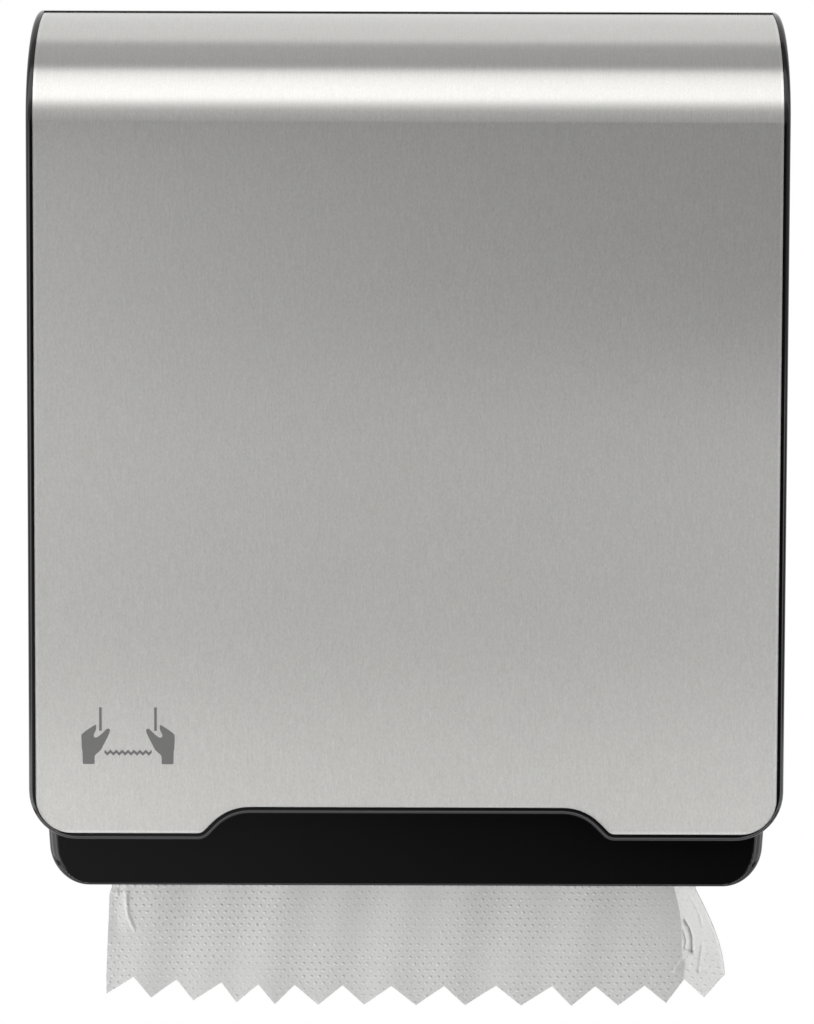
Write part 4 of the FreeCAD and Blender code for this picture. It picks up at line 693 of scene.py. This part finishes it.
# %% The hanging shape
BEND_FADE = (0.1845, 0.1915)
TAIL_TOP = -0.1920
TAIL_SHOWN = 0.0401
INSIDE_HALF = 0.128
INSIDE_FOLD_X = 0.1125
SLOT_LEFT, SLOT_FOLD, SLOT_RIGHT = -0.1285, 0.1172, 0.1257
FOLD_MOVES = 0.0040
MARGIN_OPENS = 0.0132
MARGIN_FORWARD = 0.0092
CURL = 0.0008
FOLD_DIP = 0.0016
BROAD_WAVE, BROAD_LENGTH = 0.0005, 0.066
NARROW_WAVE, NARROW_LENGTH = 0.0003, 0.027
NO_WAVES = (0.095, 0.112)
CORNER_BACK = 0.0010


def ease(value, low, high):
    """0 below low, 1 above high, and a smooth cubic rise between."""
    part = np.clip((value - low) / (high - low), 0.0, 1.0)
    return part * part * (3 - 2 * part)


across = np.repeat(column_x[None, :], len(path), axis=0)
flat_y = np.repeat(path[:, :1], len(column_x), axis=1)
flat_z = np.repeat(path[:, 1:], len(column_x), axis=1)
is_tail = (along > along[-1] - (bend_middle[1] - TOWEL_END))[:, None]
follow = np.clip((TOWEL_END + FOLLOW - flat_z) / FOLLOW, 0.0, 1.0) * is_tail
flat_z = flat_z + follow * (column_end[None, :] - TOWEL_END)
drop = np.clip((TAIL_TOP - flat_z) / TAIL_SHOWN, 0.0, 1.0) * is_tail
out = ease(-flat_z, *BEND_FADE) * is_tail

tail_places = [LEFT_SIDE_X, FOLD_X, RIGHT_SIDE_X]
inside_x = np.interp(across, tail_places, [-INSIDE_HALF, INSIDE_FOLD_X, INSIDE_HALF])
left_x = SLOT_LEFT - 0.0011 * ease(drop, 0.0, 0.14) - 0.0016 * drop
fold_x = SLOT_FOLD + FOLD_MOVES * np.sin(math.pi / 2 * np.clip(drop / 0.6, 0.0, 1.0))
fold_x += 0.0009 * ease(drop, 0.7, 1.0)
right_x = SLOT_RIGHT + MARGIN_OPENS * np.sin(math.pi / 2 * drop)
on_main = np.clip((across - LEFT_SIDE_X) / (FOLD_X - LEFT_SIDE_X), 0.0, 1.0)
on_margin = np.clip((across - FOLD_X) / (RIGHT_SIDE_X - FOLD_X), 0.0, 1.0)
tail_x = left_x + on_main * (fold_x - left_x) + on_margin * (right_x - fold_x)
sheet_x = inside_x + (tail_x - inside_x) * out

before_fold = np.exp(-np.clip(fold_x - sheet_x, 0.0, 1.0) / 0.010)
margin = MARGIN_FORWARD * on_margin + CURL * ease(on_margin, 0.93, 1.0) - FOLD_DIP * before_fold
waves = BROAD_WAVE * np.sin(2 * math.pi * (sheet_x / BROAD_LENGTH + 0.18 * drop)) * (1 - 0.3 * drop)
waves += NARROW_WAVE * np.sin(2 * math.pi * sheet_x / NARROW_LENGTH + 1.3 + 2.0 * drop)
waves *= 1 - ease(sheet_x, *NO_WAVES)
corner_back = CORNER_BACK * ease(-0.1215 - sheet_x, 0.0, 0.006) * (1 - ease(drop, 0.35, 0.7))
toward = margin + waves - corner_back

# %% [markdown]
# Handling left a few creases near both margins. Each is a short line down the sheet, given by a few
# points, and the sheet stands out or in along it as a bell curve, height times exp(-(distance/width)^2).

# %% Creases
CREASES = [
    (0.0005, 0.0007, [(-122.5, -196.5), (-122.0, -204.5), (-121.1, -207.6), (-119.3, -211.6)]),
    (0.0005, 0.0005, [(-126.3, -191.5), (-126.2, -196.9)]),
    (-0.0004, 0.0006, [(123.4, -195.9), (126.2, -200.0), (128.1, -204.0), (129.2, -208.4)]),
    (-0.0016, 0.0007, [(122.5, -208.0), (124.6, -211.8), (125.4, -215.1), (125.6, -221.3)]),
    (-0.0009, 0.0005, [(121.95, -213.1), (123.0, -216.8), (122.6, -219.9)]),
    (0.0009, 0.0007, [(123.85, -221.9), (121.7, -224.7), (119.4, -228.3), (118.2, -230.0)]),
    (-0.0007, 0.0007, [(129.6, -218.6), (129.0, -223.9), (128.3, -230.0)]),
]
CREASE_END = 0.0015

for height, half_width, line in CREASES:
    line_x, line_z = np.array(line[::-1]).T / 1000
    away = sheet_x - np.interp(flat_z, line_z, line_x)
    ends = ease(flat_z, line_z[0] - CREASE_END, line_z[0])
    ends = ends * (1 - ease(flat_z, line_z[-1], line_z[-1] + CREASE_END))
    toward = toward + height * np.exp(-((away / half_width) ** 2)) * ends
toward = toward * out
print("creases:", len(CREASES))

# %% The towel piece
UV_MIDDLE = 0.14

sheet = np.stack([sheet_x, flat_y - toward, flat_z], axis=2)
thickness = np.full((len(path), 1, 1), PAPER)
thickness[:LAP_ROWS, 0, 0] = np.linspace(0.1 * PAPER, PAPER, LAP_ROWS)
points, faces = two_sided(sheet, thickness)
flat_u = inside_x + UV_MIDDLE
flat_v = np.repeat(along[:, None], len(column_x), axis=1) + follow * (TOWEL_END - column_end[None, :])
uv_points = np.tile(np.stack([flat_u.ravel(), flat_v.ravel()], axis=1), (2, 1))
towel = make_piece("towel", points, faces, uv_points, towel_paper, "housing")
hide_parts("towel_web", "towel_tail")

# %% [markdown]
# ## The roll
#
# The roll is hundreds of turns of paper. From outside it is a cylinder with the emboss on it, and its
# two ends show the edges of the turns as fine rings that stand in and out by a fraction of a
# millimetre. Its profile, a closed line in distance from the middle and place along X, is carried
# round the axis. The ends have a second finish, because the emboss doesn't show on cut edges.

# %% Roll ends material
RING = 0.0012
RING_HEIGHT = 0.0004

wound_edges, tree, shader = start_material("wound towel edges", {"Roughness": 0.9, "Sheen Weight": 0.1})
place = add(tree, "ShaderNodeTexCoord").outputs["Object"]
from_axle = {"Vector": place, "Location": (0.0, -roll_middle[0], -roll_middle[1])}
centred = add(tree, "ShaderNodeMapping", from_axle)
apart_yz = add(tree, "ShaderNodeVectorMath", {0: centred.outputs[0], 1: (0, 1, 1)}, operation="MULTIPLY")
distance = add(tree, "ShaderNodeVectorMath", {0: apart_yz.outputs[0]}, operation="LENGTH")
rings_at = add(tree, "ShaderNodeMath", {0: distance.outputs["Value"], 1: 1 / RING}, operation="MULTIPLY")
ring_inputs = {"W": rings_at.outputs[0], "Scale": 1.0, "Detail": 3.0}
rings = add(tree, "ShaderNodeTexNoise", ring_inputs, noise_dimensions="1D").outputs[0]
tint_between(tree, shader, rings, colour("#C2C2BF"), colour("#DADAD8"))
bump = add(tree, "ShaderNodeBump", {"Strength": 0.6, "Distance": RING_HEIGHT, "Height": rings})
tree.links.new(bump.outputs[0], shader.inputs["Normal"])

# %% Roll
ROUND = 240
END_RINGS = 26
ALONG_WIDTH = 16
ROLL_HALF = 0.1279
SOFT_EDGE = 0.0006
UNEVEN = 0.00025
SKIN = 0.0001

core_radius = middle_and_radius("roll_core")[1] + SKIN
outer_radius = roll_radius - SKIN
radii = np.linspace(outer_radius, core_radius, END_RINGS)
uneven = UNEVEN * np.sin(radii / 0.0023) * np.sin(radii / 0.0071 + 1.0)
right_end = ROLL_HALF - UNEVEN + uneven
width = np.linspace(-ROLL_HALF + SOFT_EDGE, ROLL_HALF - SOFT_EDGE, ALONG_WIDTH)
bore_x = -width[::5]
profile_x = np.concatenate([width, right_end, bore_x, -right_end[::-1]])
outside = np.full(ALONG_WIDTH, outer_radius + SKIN)
profile_r = np.concatenate([outside, radii, np.full(len(bore_x), core_radius), radii[::-1]])
turn = np.linspace(0.0, 2 * math.pi, ROUND, endpoint=False)
x_grid, turn_grid = np.meshgrid(np.append(profile_x, profile_x[0]), turn)
r_grid = np.meshgrid(np.append(profile_r, profile_r[0]), turn)[0]
y_grid = roll_middle[0] + r_grid * np.cos(turn_grid)
z_grid = roll_middle[1] + r_grid * np.sin(turn_grid)
ring_points = np.stack([x_grid, y_grid, z_grid], axis=2)
columns = ring_points.shape[1]
roll_faces = grid_faces(ROUND, columns, close_rows=True)
roll_uv = np.stack([x_grid.ravel() + UV_MIDDLE, turn_grid.ravel() * outer_radius], axis=1)
paper_roll = make_piece("towel_roll", ring_points.reshape(-1, 3), roll_faces, roll_uv, towel_paper, "roll")
paper_roll.data.materials.append(wound_edges)
column_of_face = np.tile(np.arange(columns - 1), ROUND)
is_end = column_of_face >= ALONG_WIDTH - 1
paper_roll.data.polygons.foreach_set("material_index", is_end.astype(np.int32))
mesh_tool = bmesh.new()
mesh_tool.from_mesh(paper_roll.data)
bmesh.ops.remove_doubles(mesh_tool, verts=mesh_tool.verts, dist=1e-6)
bmesh.ops.recalc_face_normals(mesh_tool, faces=mesh_tool.faces)
mesh_tool.to_mesh(paper_roll.data)
mesh_tool.free()
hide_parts("paper_roll")

# %% [markdown]
# ## Springs between moving pieces
#
# Two springs join pieces that turn against each other: the pair behind the pressure roller's bracket,
# and the one round the pin of the right arm. Each is a round wire along a coil's middle line.

# %% Wire round a line
WIRE = 0.0005
WIRE_SIDES = 8


def coil_line(base, along, first, radius, pitches):
    """Points round a coil, 8 to a quarter turn, from the pitch of each quarter turn."""
    rise = np.concatenate([[0.0], np.cumsum(pitches) / 4])
    quarter = np.linspace(0.0, len(pitches), 8 * len(pitches) + 1)
    height = np.interp(quarter, np.arange(len(rise)), rise)
    angle = quarter * math.pi / 2
    outward = np.outer(np.cos(angle), first) + np.outer(np.sin(angle), np.cross(along, first))
    return base + np.outer(height, along) + radius * outward


def wire_mesh(line, axis):
    """Points, faces and UV of a wire: line + WIRE (cos a side + sin a up), closed at both ends."""
    count = len(line)
    way = np.gradient(line, axis=0)
    way /= np.linalg.norm(way, axis=1, keepdims=True)
    side = np.cross(way, axis)
    side /= np.linalg.norm(side, axis=1, keepdims=True)
    up = np.cross(side, way)
    angle = np.linspace(0.0, 2 * math.pi, WIRE_SIDES, endpoint=False)[:, None, None]
    rings = line + WIRE * (np.cos(angle) * side + np.sin(angle) * up)
    cap = np.array([(0, 1, 2, 3), (0, 3, 4, 7), (4, 5, 6, 7)]) * count
    faces = np.vstack([grid_faces(WIRE_SIDES, count, close_rows=True), cap, cap[:, ::-1] + count - 1])
    length = np.concatenate([[0.0], np.cumsum(np.linalg.norm(np.diff(line, axis=0), axis=1))])
    uv = np.stack(np.meshgrid(length, angle.ravel() * WIRE), axis=2)
    return rings.reshape(-1, 3), faces, uv.reshape(-1, 2)


# %% Pressure springs
SPRING_X = 0.060
SPRING_RADIUS = 0.004
CLOSED_PITCH = 0.0016
OPEN_TURNS = 6

low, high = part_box("pressure_springs")
open_pitch = (high.y - low.y - 2 * WIRE - 2 * CLOSED_PITCH) / OPEN_TURNS
pitches = [CLOSED_PITCH] * 4 + [open_pitch] * 4 * OPEN_TURNS + [CLOSED_PITCH] * 4
middle_z = (low.z + high.z) / 2
left_end = np.array([-SPRING_X, low.y + WIRE, middle_z])
line = coil_line(left_end, (0, 1, 0), (0, 0, 1), SPRING_RADIUS, pitches)
points, faces, uv_points = wire_mesh(line, (0, 1, 0))
pair_points = np.vstack([points, points + (2 * SPRING_X, 0, 0)])
pair_faces = np.vstack([faces, faces + len(points)])
wire_finish = finishes["spring_steel"]
pair_uv = np.tile(uv_points, (2, 1))
springs = make_piece("pressure_spring_pair", pair_points, pair_faces, pair_uv, wire_finish)
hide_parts("pressure_springs")
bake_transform(springs)

# %% Arm spring
ARM_PIN = np.array([0.1335, -0.0140, 0.0632])
ARM_COIL_RADIUS = 0.005
ARM_PITCH = 0.0017
ARM_QUARTERS = 25
LOW_LEG = 0.018
HIGH_LEG = 0.013

coil = coil_line(ARM_PIN, (0, 0, 1), (1, 0, 0), ARM_COIL_RADIUS, [ARM_PITCH] * ARM_QUARTERS)
slope = ARM_PITCH / (2 * math.pi * ARM_COIL_RADIUS)
low_leg = coil[0] - LOW_LEG / math.hypot(1, slope) * np.array([0, 1, slope])
high_leg = coil[-1] + HIGH_LEG / math.hypot(1, slope) * np.array([-1, 0, slope])
line = np.vstack([run(low_leg, coil[0], 8), coil, run(high_leg, coil[-1], 8)[::-1]])
points, faces, uv_points = wire_mesh(line, (0, 0, 1))
arm_wire = make_piece("arm_torsion_spring", points, faces, uv_points, wire_finish)
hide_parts("arm_spring")
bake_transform(arm_wire)

# %% [markdown]
# ## The printed sign
#
# At the lower left a small sign shows two hands that pull the paper down. On the real panel it is
# screen printed, a film of ink a few hundredths of a millimetre thick. So each of its shapes is a flat
# outline, in millimetres, with that thickness. The hands are drawn as rough outlines, and cutting every
# corner at a quarter and three quarters of its sides, twice, rounds them. The second hand is the first,
# mirrored.

# %% Sign shapes
INK = 0.00004
SIGN_MIDDLE = np.array([-0.1178, -0.1222])
HAND = [
    (-19.2, -12.2), (-19.2, -11.8), (-19.3, -6.4), (-19.6, -5.8), (-19.8, 0.0), (-19.5, 0.7),
    (-17.4, 2.3), (-14.2, 4.4), (-13.4, 4.6), (-13.5, 3.7), (-13.4, 2.6), (-14.6, 0.3),
    (-14.4, -0.8), (-13.2, -1.0), (-10.9, 0.9), (-8.9, 3.0), (-7.9, 2.9), (-7.5, 2.1),
    (-8.6, -0.6), (-10.7, -4.6), (-11.5, -6.2), (-13.8, -8.2), (-14.2, -8.8), (-14.2, -11.8),
    (-14.2, -12.2),
]  # fmt: skip
BAR = [(-12.2, 2.0), (-11.1, 2.0), (-11.1, 12.0), (-12.2, 12.0)]
TEETH = 8
TEETH_HALF = 10.0
TEETH_HEIGHT = 0.6
TEETH_Z = -6.6
LINE = 1.4


def rounded_outline(corners, times):
    """Cuts each corner of a closed outline: new points at 1/4 and 3/4 of every side."""
    for _ in range(times):
        following = np.roll(corners, -1, axis=0)
        pairs = np.stack([0.75 * corners + 0.25 * following, 0.25 * corners + 0.75 * following], axis=1)
        corners = pairs.reshape(-1, 2)
    return corners


hand = rounded_outline(np.array(HAND), 2)
bar = np.array(BAR)
zigzag_x = np.linspace(-TEETH_HALF, TEETH_HALF, 2 * TEETH + 1)
zigzag_z = TEETH_Z + TEETH_HEIGHT * (-1.0) ** np.arange(2 * TEETH + 1)
zigzag = np.stack([zigzag_x, zigzag_z], axis=1)
torn = np.vstack([zigzag, zigzag[::-1] - (0.0, LINE)])
outlines = [hand, hand * (-1, 1), bar, bar * (-1, 1), torn]
print("sign outlines:", len(outlines))

# %% Sign piece
ink, tree, shader = start_material("grey screen printing ink", {"Roughness": 0.5})
place = add(tree, "ShaderNodeTexCoord").outputs["Object"]
screen_weave = noise(tree, place, 0.0006, 2.0)
tint_between(tree, shader, screen_weave, colour("#6A6A69"), colour("#757573"))

steel_face = steel_low.y
sign_tool = bmesh.new()
for shape in outlines:
    placed = SIGN_MIDDLE + shape / 1000
    fronts = [sign_tool.verts.new((x, steel_face - INK, z)) for x, z in placed]
    backs = [sign_tool.verts.new((x, steel_face + INK, z)) for x, z in placed]
    sign_tool.faces.new(fronts)
    sign_tool.faces.new(backs[::-1])
    for number in range(len(fronts)):
        before = number - 1
        sign_tool.faces.new([fronts[before], backs[before], backs[number], fronts[number]])
bmesh.ops.recalc_face_normals(sign_tool, faces=sign_tool.faces)
sign_mesh = bpy.data.meshes.new("pull_sign")
sign_tool.to_mesh(sign_mesh)
sign_tool.free()
sign_mesh.materials.append(ink)
sign = bpy.data.objects.new("pull_sign", sign_mesh)
bpy.context.scene.collection.objects.link(sign)
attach(sign, "cover")
print("sign points:", len(sign_mesh.vertices), "steel face at", round(steel_face, 5))
